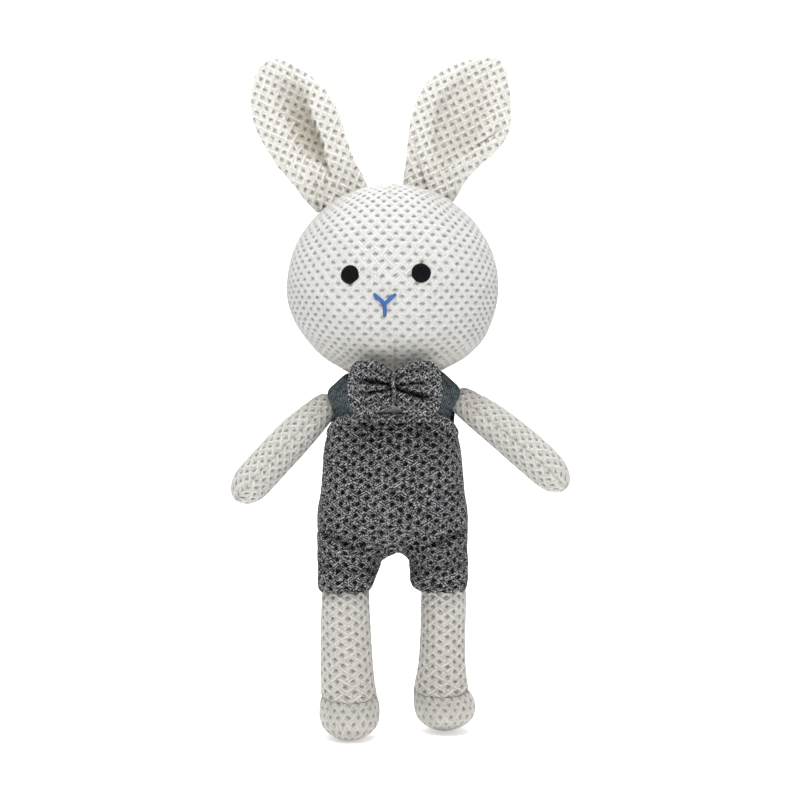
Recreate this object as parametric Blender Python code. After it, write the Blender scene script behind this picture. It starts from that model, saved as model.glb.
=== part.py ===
"""Stuffed bunny in a knitted romper: the functional model, in metres, +Z up.

Everything is modelled about the body axis, the vertical line through the middle of the torso,
with the soles on z = 0 and the face towards -Y. One empty at the root then moves the whole toy
so that its bounding box is centred on the origin.
"""

import math

import bmesh
import bpy
import numpy as np
from mathutils import Matrix, Vector

# ---- driving dimensions -------------------------------------------------------------------
FRAME_SHIFT = Vector((-0.0040, 0.0007, 0.0))  # from the body axis to the middle of the box
GAP = 0.0003  # air left between neighbouring pieces
SEAM_SHIFT = 0.0003  # each half of a sewn pair stands this far off the seam
KNIT = 0.0012  # thickness of the white knit
CHUNKY = 0.0015  # thickness of the romper's heavier knit
FELT = 0.0013  # thickness of the straps

HEAD_CENTRE_Z = 0.2263
HEAD_HALF_WIDTH = 0.0543
HEAD_HALF_DEPTH = 0.0460
HEAD_UP = 0.0532  # from the widest line to the crown
HEAD_DOWN = 0.0474  # and to where the lower half would close
NECK_OPENING = 0.0245  # half width of the head's open end
NECK_PIVOT = Vector((0.0, 0.0, 0.1820))
NECK_BALL = 0.0130

HIP_Z = 0.0970
HIP_RADIUS = 0.0180  # the romper leg turns inside this radius
HIP_CUT = 0.0186
TRUNK_FLOOR = 0.0990  # the seat of the romper ends here

ARM_RADIUS = 0.0096
ARMS = {
    "left": {"pivot": Vector((-0.0365, 0, 0.1640)), "slope": 46.4, "length": 0.0640, "side": -1},
    "right": {"pivot": Vector((0.0380, 0, 0.1670)), "slope": 40.1, "length": 0.0670, "side": 1},
}
EARS = {
    "left": {"base": Vector((-0.0270, 0, 0.2725)), "lean": -25.7, "length": 0.0790, "width": 0.0208},
    "right": {"base": Vector((0.0205, 0, 0.2756)), "lean": 24.5, "length": 0.0755, "width": 0.0232},
}
EAR_PIVOT = 0.0060  # height of the ear's fold above the head
EAR_ROOT = 0.0018  # the ear starts this far above the head

LEGS = {"left": {"side": -1, "ankle_y": -0.0130, "foot_y": -0.0200, "foot_x": 0.0220},
        "right": {"side": 1, "ankle_y": 0.0040, "foot_y": -0.0030, "foot_x": 0.0260}}

# Height, half width and half depth of the knitted torso under the romper, seat to neck.
TORSO = ((0.096, 0.0340, 0.0230), (0.112, 0.0362, 0.0250), (0.125, 0.0356, 0.0250),
         (0.140, 0.0325, 0.0238), (0.150, 0.0282, 0.0218), (0.160, 0.0253, 0.0195),
         (0.170, 0.0238, 0.0180), (0.177, 0.0185, 0.0140))
# The same for the romper's outer face, seat to bib.
ROMPER = ((0.096, 0.0378, 0.0262), (0.112, 0.0386, 0.0274), (0.125, 0.0378, 0.0272),
          (0.140, 0.0356, 0.0262), (0.150, 0.0340, 0.0247), (0.162, 0.0315, 0.0228))
BIB_TOP = 0.1620
BACK_TOP = 0.1560
# Height, centre x, half width and half depth of a romper leg below the hip (x is outwards).
ROMPER_LEG = ((0.073, 0.0243, 0.0134, 0.0146), (0.081, 0.0233, 0.0150, 0.0162),
              (0.088, 0.0218, 0.0165, 0.0174), (0.094, 0.0200, 0.0186, 0.0179),
              (0.097, 0.0194, 0.0190, 0.0180))
# Height, centre x, how far the centre has moved to the ankle's y, half width and half depth.
LEG = ((0.0203, 0.0225, 1.00, 0.0132, 0.0134), (0.030, 0.0233, 0.86, 0.0130, 0.0130),
       (0.050, 0.0242, 0.60, 0.0124, 0.0125), (0.073, 0.0243, 0.30, 0.0116, 0.0123),
       (0.085, 0.0225, 0.14, 0.0128, 0.0133), (0.097, 0.0203, 0.00, 0.0140, 0.0140))
# Height, share of the way from foot centre to ankle, half width and half length of a foot.
FOOT = ((0.0020, 0.00, 0.0124, 0.0182), (0.0060, 0.00, 0.0150, 0.0213),
        (0.0110, 0.12, 0.0151, 0.0206), (0.0160, 0.55, 0.0142, 0.0172),
        (0.0199, 1.00, 0.0132, 0.0134))
SOLE_HALF_WIDTH, SOLE_HALF_LENGTH, SOLE_THICKNESS = 0.0124, 0.0182, 0.0016

COLOURS = {  # material: base colour, roughness
    "white_knit": ((0.78, 0.76, 0.71), 0.95),
    "grey_knit": ((0.11, 0.11, 0.12), 0.95),
    "slate_felt": ((0.045, 0.055, 0.062), 0.97),
    "black_thread": ((0.006, 0.006, 0.007), 0.55),
    "blue_thread": ((0.06, 0.19, 0.50), 0.45),
    "fibre_fill": ((0.88, 0.88, 0.86), 1.0),
}


# ---- small tools --------------------------------------------------------------------------
def clear_scene():
    for found in list(bpy.data.objects):
        bpy.data.objects.remove(found)


def material(name):
    """One Principled material for each cloth, thread and filling."""
    made = bpy.data.materials.get(name)
    if made:
        return made
    made = bpy.data.materials.new(name)
    made.use_nodes = True
    shader = made.node_tree.nodes["Principled BSDF"]
    colour, roughness = COLOURS[name]
    shader.inputs["Base Color"].default_value = (*colour, 1.0)
    shader.inputs["Roughness"].default_value = roughness
    shader.inputs["Metallic"].default_value = 0.0
    return made


def hinge(name, at, parent=None):
    """An empty on a joint's axis, which carries the pieces that move there."""
    made = bpy.data.objects.new(name, None)
    bpy.context.scene.collection.objects.link(made)
    made.parent = parent
    made["at"] = at
    made.location = at - (Vector(parent["at"]) if parent else Vector())
    return made


def smooth(stations, t):
    """The row of a station table at t, on a Catmull-Rom curve through its rows."""
    table = np.array(stations, float)
    t = min(max(t, table[0, 0]), table[-1, 0])
    i = min(max(int(np.searchsorted(table[:, 0], t, side="right")) - 1, 0), len(table) - 2)
    p0, p1, p2, p3 = (table[min(max(i + k, 0), len(table) - 1), 1:] for k in (-1, 0, 1, 2))
    s = (t - table[i, 0]) / (table[i + 1, 0] - table[i, 0])
    return 0.5 * (2 * p1 + (p2 - p0) * s + (2 * p0 - 5 * p1 + 4 * p2 - p3) * s ** 2
                  + (3 * p1 - p0 - 3 * p2 + p3) * s ** 3)


def oval(angle, half_width, half_depth, power=2.0):
    """A point of an ellipse, or of a fuller oval where power is over 2."""
    c, s = math.cos(angle), math.sin(angle)
    return (half_width * math.copysign(abs(c) ** (2 / power), c),
            half_depth * math.copysign(abs(s) ** (2 / power), s))


def sampled(low, high, count):
    return [low + (high - low) * i / count for i in range(count + 1)]


def sheet_mesh(name, rows, closed=False, capped=False):
    """A mesh from rows of points, each row joined to the next. Points that coincide are merged."""
    mesh = bmesh.new()
    grid = [[mesh.verts.new(p) for p in row] for row in rows]
    wide = len(rows[0])
    for low, high in zip(grid, grid[1:]):
        for j in range(wide if closed else wide - 1):
            k = (j + 1) % wide
            mesh.faces.new((low[j], low[k], high[k], high[j]))
    bmesh.ops.remove_doubles(mesh, verts=mesh.verts, dist=1e-6)
    bmesh.ops.dissolve_degenerate(mesh, edges=mesh.edges, dist=1e-7)
    if capped:
        bmesh.ops.holes_fill(mesh, edges=[e for e in mesh.edges if e.is_boundary])
        bmesh.ops.recalc_face_normals(mesh, faces=mesh.faces)
    data = bpy.data.meshes.new(name)
    mesh.to_mesh(data)
    mesh.free()
    return data


def piece(name, data, cloth, carrier, thickness=0.0, cutters=()):
    """One named sub-part, with its origin on its carrier's axis. An open sheet grows inwards."""
    data.transform(Matrix.Translation(-Vector(carrier["at"])))
    data.materials.append(material(cloth))
    data.shade_smooth()
    data.set_sharp_from_angle(angle=math.radians(50))
    made = bpy.data.objects.new(name, data)
    bpy.context.scene.collection.objects.link(made)
    made.parent = carrier
    if thickness:
        solidify = made.modifiers.new("cloth", "SOLIDIFY")
        solidify.thickness = thickness
        solidify.offset = -1.0
    for cutter in cutters:
        cut = made.modifiers.new("cut", "BOOLEAN")
        cut.operation = "DIFFERENCE"
        cut.object = cutter
    return made


def moved(rows, shift):
    return [[Vector(p) + shift for p in row] for row in rows]


def halves(rows_at, shift_direction, turns):
    """The two halves of a sewn tube: rows_at(first angle, last angle), each moved off the seam."""
    first = moved(rows_at(turns[0], turns[1]), shift_direction * SEAM_SHIFT)
    second = moved(rows_at(turns[1], turns[2]), -shift_direction * SEAM_SHIFT)
    return first, second


def hidden(obj):
    obj.hide_render = True
    obj.display_type = "WIRE"
    return obj


def prism(name, profile, low, high, carrier):
    """A cutter: a closed (y, z) outline drawn out along X from low to high."""
    rows = [[(x, y, z) for y, z in profile] for x in (low, high)]
    made = bpy.data.objects.new(name, sheet_mesh(name, rows, closed=True, capped=True))
    bpy.context.scene.collection.objects.link(made)
    made.parent = carrier
    return hidden(made)


# ---- the torso, its fill and the romper ---------------------------------------------------
TRUNK_SIDES = 24
TRUNK_ROWS = 8
FRONT, SIDES, BACK = math.pi, 2 * math.pi, 3 * math.pi  # the front half runs from -X to +X


def trunk_rows(stations, heights, first, last, power, less=0.0, sides=TRUNK_SIDES // 2):
    rows = []
    for z in heights:
        half_width, half_depth = smooth(stations, z)
        rows.append([(*oval(a, half_width - less, half_depth - less, power), z)
                     for a in sampled(first, last, sides)])
    return rows


def hip_cutter(carrier):
    """The room the legs swing in: a cylinder about the hip line, open to the front."""
    arc = [(HIP_CUT * math.sin(a), HIP_Z + HIP_CUT * math.cos(a))
           for a in sampled(0, math.pi / 2, 8)]
    profile = [(-0.06, HIP_Z + HIP_CUT), *arc, (0.034, 0.060), (-0.06, 0.060)]
    return prism("hip_clearance", profile, -0.06, 0.06, carrier)


def armhole_cutter(carrier):
    """An oval opening through the sides of the romper, which clears the hanging arms."""
    outline = [(0.0150 * math.cos(a), 0.1660 + 0.0235 * math.sin(a))
               for a in sampled(0, 2 * math.pi, 16)[:-1]]
    return [prism(f"armhole_{n}", outline, low, high, carrier)
            for n, low, high in (("left", -0.06, -0.0235), ("right", 0.0235, 0.06))]


def build_torso(root):
    legs_clear = hip_cutter(root)
    heights = sampled(TRUNK_FLOOR, TORSO[-1][0], TRUNK_ROWS)
    front, back = halves(
        lambda a, b: trunk_rows(TORSO, heights, a, b, 2.3), Vector((0, -1, 0)),
        (FRONT, SIDES, BACK))
    piece("torso_front_panel", sheet_mesh("torso_front", front), "white_knit", root, KNIT,
          [legs_clear])
    piece("torso_back_panel", sheet_mesh("torso_back", back), "white_knit", root, KNIT,
          [legs_clear])

    inside = KNIT + 2 * GAP + 0.0002
    top = TORSO[-1][0] - 0.0015
    rows = trunk_rows(TORSO, heights[:-1] + [top], 0, 2 * math.pi, 2.3, inside, TRUNK_SIDES)
    socket = NECK_BALL + 0.0005
    rim = math.acos((NECK_PIVOT.z - top) / socket)
    for turn in sampled(rim, 0, 4):
        z = NECK_PIVOT.z - socket * math.cos(turn)
        rows.append([(*oval(a, socket * math.sin(turn), socket * math.sin(turn)), z)
                     for a in sampled(0, 2 * math.pi, TRUNK_SIDES)])
    piece("torso_fill", sheet_mesh("torso_fill", [r[:-1] for r in rows], True, True),
          "fibre_fill", root, cutters=[legs_clear])
    return legs_clear


def build_romper(root, legs_clear):
    holes = armhole_cutter(root)
    for name, top, turns in (("romper_front_panel", BIB_TOP, (FRONT, SIDES)),
                             ("romper_back_panel", BACK_TOP, (SIDES, BACK))):
        rows = trunk_rows(ROMPER, sampled(TRUNK_FLOOR, top, TRUNK_ROWS), *turns, 2.4)
        side = -1 if name == "romper_front_panel" else 1
        rows = moved(rows, Vector((0, side * SEAM_SHIFT, 0)))
        piece(name, sheet_mesh(name, rows), "grey_knit", root, CHUNKY, [legs_clear, *holes])

    # The bib's folded hem, a band over the top edge of the front panel.
    fold = CHUNKY + GAP + SEAM_SHIFT
    rows = []
    for z in (BIB_TOP - 0.0055, BIB_TOP - 0.0025, BIB_TOP + 0.0004):
        half_width, half_depth = smooth(ROMPER, z)
        rows.append([(*oval(a, half_width + fold, half_depth + fold, 2.4), z)
                     for a in sampled(FRONT + 0.62, SIDES - 0.62, 12)])
    piece("bib_hem", sheet_mesh("bib_hem", rows), "grey_knit", root, CHUNKY - 0.0001)


def build_strap(root, name, side):
    """A felt band from the bib, over the shoulder, to the back of the romper."""
    # Distance along y, height of the outer face, and how far the outer edge drops.
    route = ((-0.0200, 0.1628, 0.0000), (-0.0203, 0.1690, 0.0002), (-0.0178, 0.1755, 0.0012),
             (-0.0110, 0.1798, 0.0026), (0.0000, 0.1812, 0.0032), (0.0110, 0.1796, 0.0026),
             (0.0178, 0.1745, 0.0012), (0.0206, 0.1670, 0.0002), (0.0212, 0.1572, 0.0000))
    inner, outer = 0.0225, 0.0320
    rows = []
    for y, z, drop in route:
        row = []
        for share in (0.0, 0.5, 1.0):
            out = side * (inner + (outer - inner) * share)
            bend = 0.0022 * share ** 2 * (1 if abs(y) > 0.015 else 0)  # it follows the round bib
            row.append((out, y - math.copysign(bend, y), z - drop * share))
        rows.append(row if side > 0 else row[::-1])
    piece(name, sheet_mesh(name, rows), "slate_felt", root, FELT)


# ---- the bow tie --------------------------------------------------------------------------
BOW_CENTRE = Vector((0.0006, -0.0352, 0.1750))
# Distance from the waist, half height, half depth, and how far the section drops.
BOW = ((0.0000, 0.0042, 0.0034, 0.0000), (0.0030, 0.0060, 0.0040, 0.0001),
       (0.0080, 0.0104, 0.0055, 0.0002), (0.0145, 0.0130, 0.0060, 0.0003),
       (0.0200, 0.0112, 0.0046, 0.0004), (0.0225, 0.0070, 0.0024, 0.0004))


def build_bow(root):
    rows = []
    for x in (-0.0225, -0.0205, -0.017, -0.0125, -0.008, -0.004, -0.0015,
              0.0015, 0.004, 0.008, 0.0125, 0.017, 0.0205, 0.0225):
        half_height, half_depth, drop = smooth(BOW, abs(x))
        row = []
        for a in sampled(0, 2 * math.pi, 16)[:-1]:
            up, forward = oval(a, half_height, half_depth, 2.2)
            row.append(BOW_CENTRE + Vector((x, -forward, up - drop)))
        rows.append(row)
    piece("bow_tie", sheet_mesh("bow_tie", rows, True, True), "grey_knit", root)

    # The thread that pinches the waist, wound round the X axis.
    thread = 0.0006
    rows = []
    for a in sampled(0, 2 * math.pi, 18)[:-1]:
        row = []
        for b in sampled(0, 2 * math.pi, 8)[:-1]:
            clear = thread + GAP + 0.0009 + thread * math.cos(b)
            up, forward = oval(a, 0.0042 + clear, 0.0034 + clear, 2.2)
            row.append(BOW_CENTRE + Vector((0.9 * thread * math.sin(b), -forward, up)))
        rows.append(row)
    rows.append(rows[0])
    piece("bow_thread", sheet_mesh("bow_thread", rows, True, True), "white_knit", root)

    # A short shank of thread tacks the bow to the neck.
    back = BOW_CENTRE.y + 0.0034 + 0.0009 + 2 * thread + 2 * GAP + 0.0002
    rows = [[(BOW_CENTRE.x + 0.0013 * math.cos(a), y, 0.1720 + 0.0013 * math.sin(a))
             for a in sampled(0, 2 * math.pi, 10)[:-1]] for y in (back, -0.0180 - 2 * GAP - 0.0004)]
    piece("bow_tack", sheet_mesh("bow_tack", rows, True, True), "white_knit", root)


# ---- the head and neck --------------------------------------------------------------------
HEAD_SIDES = 24
HEAD_ROWS = 9


def head_ring(rise, first, last, sides, less=0.0):
    """A row of points round the head; rise is 0 at the bottom pole and pi at the crown."""
    upright = HEAD_DOWN if rise < math.pi / 2 else HEAD_UP
    z = HEAD_CENTRE_Z - (upright - less) * math.cos(rise)
    wide = (HEAD_HALF_WIDTH - less) * math.sin(rise)
    deep = (HEAD_HALF_DEPTH - less) * math.sin(rise)
    return [(*oval(a, wide, deep), z) for a in sampled(first, last, sides)]


def head_front_y(x, z, proud=0.0):
    """The y of the face at (x, z), proud of the surface by that much."""
    upright = HEAD_DOWN if z < HEAD_CENTRE_Z else HEAD_UP
    left = 1 - (x / HEAD_HALF_WIDTH) ** 2 - ((z - HEAD_CENTRE_Z) / upright) ** 2
    return -HEAD_HALF_DEPTH * math.sqrt(left) - proud


def build_head(head):
    start = math.asin(NECK_OPENING / HEAD_HALF_WIDTH)
    rises = sampled(start, math.pi, HEAD_ROWS)
    front, back = halves(lambda a, b: [head_ring(r, a, b, HEAD_SIDES // 2) for r in rises],
                         Vector((0, -1, 0)), (FRONT, SIDES, BACK))
    piece("head_front_panel", sheet_mesh("head_front", front), "white_knit", head, KNIT)
    piece("head_back_panel", sheet_mesh("head_back", back), "white_knit", head, KNIT)

    # The filling, hollowed below where the neck's wad sits in it.
    less = KNIT + 2 * GAP + 0.0002
    socket = NECK_BALL + 0.0005
    rows = []
    floor = HEAD_CENTRE_Z - (HEAD_DOWN - less) * math.cos(start + 0.03)
    rim = math.acos((floor - NECK_PIVOT.z) / socket)
    for turn in sampled(0, rim, 4):
        z = NECK_PIVOT.z + socket * math.cos(turn)
        rows.append([(*oval(a, socket * math.sin(turn), socket * math.sin(turn)), z)
                     for a in sampled(0, 2 * math.pi, HEAD_SIDES)])
    rows += [head_ring(r, 0, 2 * math.pi, HEAD_SIDES, less) for r in (start + 0.03, *rises[1:])]
    rows = [r[:-1] for r in rows]
    piece("head_fill", sheet_mesh("head_fill", rows, True, True), "fibre_fill", head)


def build_neck(neck):
    rows = [[NECK_PIVOT + Vector((*oval(a, NECK_BALL * math.sin(r), NECK_BALL * math.sin(r)),
                                  -NECK_BALL * math.cos(r)))
             for a in sampled(0, 2 * math.pi, 16)[:-1]] for r in sampled(0, math.pi, 8)]
    piece("neck_fill", sheet_mesh("neck_fill", rows, True, True), "fibre_fill", neck)


NOSE_X = -0.0036  # the face is sewn a little to one side
EYE_HALF = 0.0050
STITCH = 0.0008


def build_face(head):
    for name, x, z in (("eye_left", -0.0206, 0.2302), ("eye_right", 0.0140, 0.2308)):
        rows = []
        for share in (0.0, 0.55, 1.0):
            row = []
            for a in sampled(0, 2 * math.pi, 16)[:-1]:
                px, pz = oval(a, EYE_HALF * 0.96 * share, EYE_HALF * share)
                px, pz = x + px, z + pz
                row.append((px, head_front_y(px, pz, GAP + 0.0005 + STITCH), pz))
            rows.append(row)
        piece(name, sheet_mesh(name, rows, True), "black_thread", head, STITCH)

    # Three straight stitches in a Y: the fork above, the stem below.
    cx, cz, half = NOSE_X, 0.2152, 0.0010
    fork = ((-0.0054, 0.0056), (0.0054, 0.0056))
    (lx, lz), (rx, rz) = fork
    outline = [(half, 0.0), (rx + half * 0.8, rz - half), (rx - half * 0.8, rz + half),
               (0.0, half * 1.9), (lx + half * 0.8, lz + half), (lx - half * 0.8, lz - half),
               (-half, 0.0), (-half, -0.0060), (half, -0.0060)]
    rows = []
    for proud in (GAP + 0.0006, GAP + 0.0006 + STITCH):
        rows.append([(cx + x, head_front_y(cx + x, cz + z, proud), cz + z) for x, z in outline])
    piece("nose_stitch", sheet_mesh("nose_stitch", rows, True, True), "blue_thread", head)


# ---- the ears -----------------------------------------------------------------------------
# Share of the length, share of the half width, puff of each side, and depth of the cup.
EAR = ((0.00, 0.74, 0.0008, 0.0035), (0.12, 0.80, 0.0026, 0.0050), (0.30, 0.93, 0.0033, 0.0052),
       (0.48, 1.00, 0.0034, 0.0045), (0.64, 0.95, 0.0034, 0.0034), (0.78, 0.76, 0.0032, 0.0022),
       (0.90, 0.49, 0.0026, 0.0012), (1.00, 0.16, 0.0010, 0.0004))


def ear_rows(ear, puff, narrow=1.0, ends=(0.0, 1.0), across=8, along=9):
    """The cupped middle surface of an ear, puffed to one side by puff."""
    lean = math.radians(ear["lean"])
    up = Vector((math.sin(lean), 0, math.cos(lean)))
    over = Vector((math.cos(lean), 0, -math.sin(lean)))
    rows = []
    for share in sampled(*ends, along):
        width, swell, cup = smooth(EAR, share)
        out = EAR_ROOT + (ear["length"] - EAR_ROOT) * share
        row = []
        for v in sampled(-narrow, narrow, across):
            bulge = SEAM_SHIFT + swell * max(0.0, 1 - v * v) ** 0.5
            forward = cup * v * v + puff * bulge
            row.append(ear["base"] + up * out + over * (ear["width"] * width * v)
                       + Vector((0, -forward, 0)))
        rows.append(row)
    return rows


def build_ear(side, head):
    ear = EARS[side]
    lean = math.radians(ear["lean"])
    at = ear["base"] + Vector((math.sin(lean), 0, math.cos(lean))) * EAR_PIVOT
    fold = hinge(f"fold_ear_{side}", at, head)
    grow = KNIT
    for name, puff in (("front", 1), ("back", -1)):
        rows = ear_rows(ear, puff)
        if puff > 0:  # the sheet's outer face points forward, and thickness grows from it inwards
            rows = [[p + Vector((0, -grow, 0)) for p in row] for row in rows]
        else:
            rows = [[p + Vector((0, grow, 0)) for p in row[::-1]] for row in rows]
        data = sheet_mesh(f"ear_{side}_{name}", rows)
        piece(f"ear_{side}_{name}_panel", data, "white_knit", fold, grow)
    rows = [[p + Vector((0, -0.0011, 0)) for p in row]
            for row in ear_rows(ear, 0, 0.72, (0.13, 0.87), 6, 6)]
    piece(f"ear_{side}_wadding", sheet_mesh(f"ear_{side}_pad", rows), "fibre_fill", fold, 0.0022)


# ---- the arms -----------------------------------------------------------------------------
ARM_SIDES = 16


def arm_profile(length, radius, less=0.0):
    """(distance, radius) from the ball at the shoulder to the rounded hand."""
    r = radius - less
    start = [(-r * math.cos(a), r * math.sin(a)) for a in sampled(0, math.pi / 2, 4)]
    hand = length - 0.016
    middle = [(0.018, r * 1.03), (0.034, r * 1.01), (hand, r * 0.97)]
    tip = [(hand + (0.016 - less) * math.sin(a), r * 0.97 * math.cos(a))
           for a in sampled(0, math.pi / 2, 5)[1:]]
    return start + middle + tip


def build_arm(side, root):
    arm = ARMS[side]
    slope = math.radians(arm["slope"])
    along = Vector((arm["side"] * math.cos(slope), 0, -math.sin(slope)))
    upper = Vector((arm["side"] * math.sin(slope), 0, math.cos(slope)))
    across = along.cross(upper)
    raise_hinge = hinge(f"raise_arm_{side}", arm["pivot"], root)
    swing_hinge = hinge(f"swing_arm_{side}", arm["pivot"], raise_hinge)

    def rows_at(profile, first, last, sides):
        return [[arm["pivot"] + along * s
                 + upper * (r * math.cos(a)) + across * (r * math.sin(a))
                 for a in sampled(first, last, sides)] for s, r in profile]

    profile = arm_profile(arm["length"], ARM_RADIUS)
    top, under = halves(lambda a, b: rows_at(profile, a, b, ARM_SIDES // 2), upper,
                        (-math.pi / 2, math.pi / 2, 3 * math.pi / 2))
    piece(f"arm_{side}_upper_panel", sheet_mesh(f"arm_{side}_top", top), "white_knit",
          swing_hinge, KNIT)
    piece(f"arm_{side}_under_panel", sheet_mesh(f"arm_{side}_under", under), "white_knit",
          swing_hinge, KNIT)

    # The loose wad at the shoulder, and the firmer fill of the arm hollowed round it.
    wad = ARM_RADIUS - KNIT - 0.0008
    ball = [(-wad * math.cos(a), wad * math.sin(a)) for a in sampled(0, math.pi, 8)]
    rows = [r[:-1] for r in rows_at(ball, 0, 2 * math.pi, 12)]
    piece(f"arm_{side}_shoulder_wad", sheet_mesh(f"arm_{side}_wad", rows, True, True),
          "fibre_fill", raise_hinge)
    less = KNIT + 2 * GAP
    hollow = wad + 0.0004
    cup = [(hollow * math.cos(a), hollow * math.sin(a)) for a in sampled(0, math.radians(62), 3)]
    body = [(s, r) for s, r in arm_profile(arm["length"], ARM_RADIUS, less) if s > 0.010]
    rows = [r[:-1] for r in rows_at(cup + body, 0, 2 * math.pi, ARM_SIDES)]
    piece(f"arm_{side}_fill", sheet_mesh(f"arm_{side}_fill", rows, True, True), "fibre_fill",
          swing_hinge)


# ---- the legs -----------------------------------------------------------------------------
LEG_SIDES = 16


def ring(x, y, z, half_width, half_depth, power=2.0, sides=LEG_SIDES):
    return [Vector((x, y, z)) + Vector((*oval(a, half_width, half_depth, power), 0))
            for a in sampled(0, 2 * math.pi, sides)[:-1]]


def leg_ring(leg, z, less=0.0):
    x, moved_share, half_width, half_depth = smooth(LEG, z)
    return ring(leg["side"] * x, leg["ankle_y"] * moved_share, z, half_width - less,
                half_depth - less)


def foot_ring(leg, z, less=0.0):
    share, half_width, half_length = smooth(FOOT, z)
    x = leg["foot_x"] + (LEG[0][1] - leg["foot_x"]) * share
    y = leg["foot_y"] + (leg["ankle_y"] - leg["foot_y"]) * share
    return ring(leg["side"] * x, y, z, half_width - less, half_length - less, 2.2)


def build_leg(side, root):
    leg = LEGS[side]
    hip = hinge(f"hip_{side}", Vector((leg["side"] * 0.0194, 0, HIP_Z)), root)
    less = KNIT + 2 * GAP

    rows = [leg_ring(leg, z) for z in sampled(LEG[0][0], HIP_Z, 6)]
    piece(f"leg_{side}_skin", sheet_mesh(f"leg_{side}", rows, True), "white_knit", hip, KNIT)

    rows = [foot_ring(leg, z) for z in (0.0020, 0.0045, 0.0080, 0.0125, 0.0165, 0.0199)]
    piece(f"foot_{side}_upper", sheet_mesh(f"foot_{side}", rows, True), "white_knit", hip, KNIT)

    edge = 0.0005
    rows = [ring(leg["side"] * leg["foot_x"], leg["foot_y"], z, SOLE_HALF_WIDTH - in_by,
                 SOLE_HALF_LENGTH - in_by, 2.2)
            for z, in_by in ((0.0, edge), (edge, 0.0), (SOLE_THICKNESS, 0.0))]
    piece(f"foot_{side}_sole", sheet_mesh(f"sole_{side}", rows, True, True), "white_knit", hip)

    # One filling runs from the sole to a rounded top at the hip.
    rows = []
    for z, drop in ((0.0026, 0.0004), (0.0060, 0.0), (0.0110, 0.0014), (0.0160, 0.0022),
                    (0.0199, 0.0024)):
        rows.append([p - Vector((0, 0, drop)) for p in foot_ring(leg, z, less + 0.0003)])
    rows += [leg_ring(leg, z, less) for z in sampled(LEG[0][0], HIP_Z, 6)]
    x, _, half_width, half_depth = smooth(LEG, HIP_Z)
    rows += [ring(leg["side"] * x, 0, HIP_Z + (half_depth - less) * math.sin(a),
                  (half_width - less) * math.cos(a), (half_depth - less) * math.cos(a))
             for a in sampled(0, math.radians(80), 4)[1:]]
    piece(f"leg_{side}_fill", sheet_mesh(f"leg_fill_{side}", rows, True, True), "fibre_fill", hip)

    # The romper's leg: open at the hem, and drawn in over the hip, where it turns with the leg.
    rows = []
    for z in sampled(ROMPER_LEG[0][0], HIP_Z, 5):
        x, half_width, half_depth = smooth(ROMPER_LEG, z)
        lean = leg["ankle_y"] * smooth(LEG, z)[1]
        rows.append(ring(leg["side"] * x, lean, z, half_width, half_depth, 2.3))
    for a in sampled(0, math.radians(78), 4)[1:]:
        half_width = 0.0190 - 0.0060 * (a / math.radians(78)) ** 3
        rows.append(ring(leg["side"] * 0.0194, 0, HIP_Z + HIP_RADIUS * math.sin(a), half_width,
                         HIP_RADIUS * math.cos(a), 2.3))
    data = sheet_mesh(f"romper_leg_{side}", rows, True)
    crown = bmesh.new()
    crown.from_mesh(data)
    top = max(v.co.z for v in crown.verts)
    rim = [e for e in crown.edges if e.is_boundary and all(v.co.z > top - 1e-5 for v in e.verts)]
    bmesh.ops.contextual_create(crown, geom=rim)
    bmesh.ops.recalc_face_normals(crown, faces=crown.faces)
    crown.to_mesh(data)
    crown.free()
    piece(f"romper_leg_{side}", data, "grey_knit", hip, CHUNKY)


def main():
    clear_scene()
    root = hinge("body_axis", Vector((0, 0, 0)))
    root.location = FRAME_SHIFT
    neck = hinge("turn_head", NECK_PIVOT, root)
    head = hinge("nod_head", NECK_PIVOT, neck)

    legs_clear = build_torso(root)
    build_romper(root, legs_clear)
    build_strap(root, "strap_left", -1)
    build_strap(root, "strap_right", 1)
    build_bow(root)
    build_neck(neck)
    build_head(head)
    build_face(head)
    for side in ("left", "right"):
        build_ear(side, head)
        build_arm(side, root)
        build_leg(side, root)


main()
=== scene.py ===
# %% [markdown]
# # A knitted bunny in a romper
#
# This lesson dresses a plain, jointed model of a stuffed bunny in its real surfaces: a white
# honeycomb knit for the body, a grey marled knit for the romper and the bow tie, felt straps, and
# an embroidered face. The plain model is a fixed frame. Most new pieces ride on one of its
# bodies, so they follow a pose; the ears and the two halves of the romper ride on none.

import math

import bpy
import numpy as np
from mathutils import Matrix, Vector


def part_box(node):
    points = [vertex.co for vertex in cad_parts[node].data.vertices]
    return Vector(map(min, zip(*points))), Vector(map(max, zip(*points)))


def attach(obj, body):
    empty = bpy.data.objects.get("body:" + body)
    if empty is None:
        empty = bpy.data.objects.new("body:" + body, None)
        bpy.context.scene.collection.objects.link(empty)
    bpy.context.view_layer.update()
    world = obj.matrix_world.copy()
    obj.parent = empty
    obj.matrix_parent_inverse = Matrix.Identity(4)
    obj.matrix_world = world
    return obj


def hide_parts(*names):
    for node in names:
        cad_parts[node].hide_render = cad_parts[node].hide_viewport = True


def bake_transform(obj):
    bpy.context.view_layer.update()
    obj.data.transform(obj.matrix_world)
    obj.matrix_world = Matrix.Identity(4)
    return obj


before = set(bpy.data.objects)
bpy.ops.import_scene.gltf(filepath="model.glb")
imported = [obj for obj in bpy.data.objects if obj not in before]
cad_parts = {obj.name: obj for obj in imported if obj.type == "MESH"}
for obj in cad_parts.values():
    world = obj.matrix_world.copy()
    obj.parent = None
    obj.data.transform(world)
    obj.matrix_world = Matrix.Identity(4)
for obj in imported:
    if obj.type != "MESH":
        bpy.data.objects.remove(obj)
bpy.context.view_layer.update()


def middle_of(node):
    """The middle of a node's box, in millimetres."""
    low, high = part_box(node)
    return (np.array(low) + np.array(high)) * 500


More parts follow.
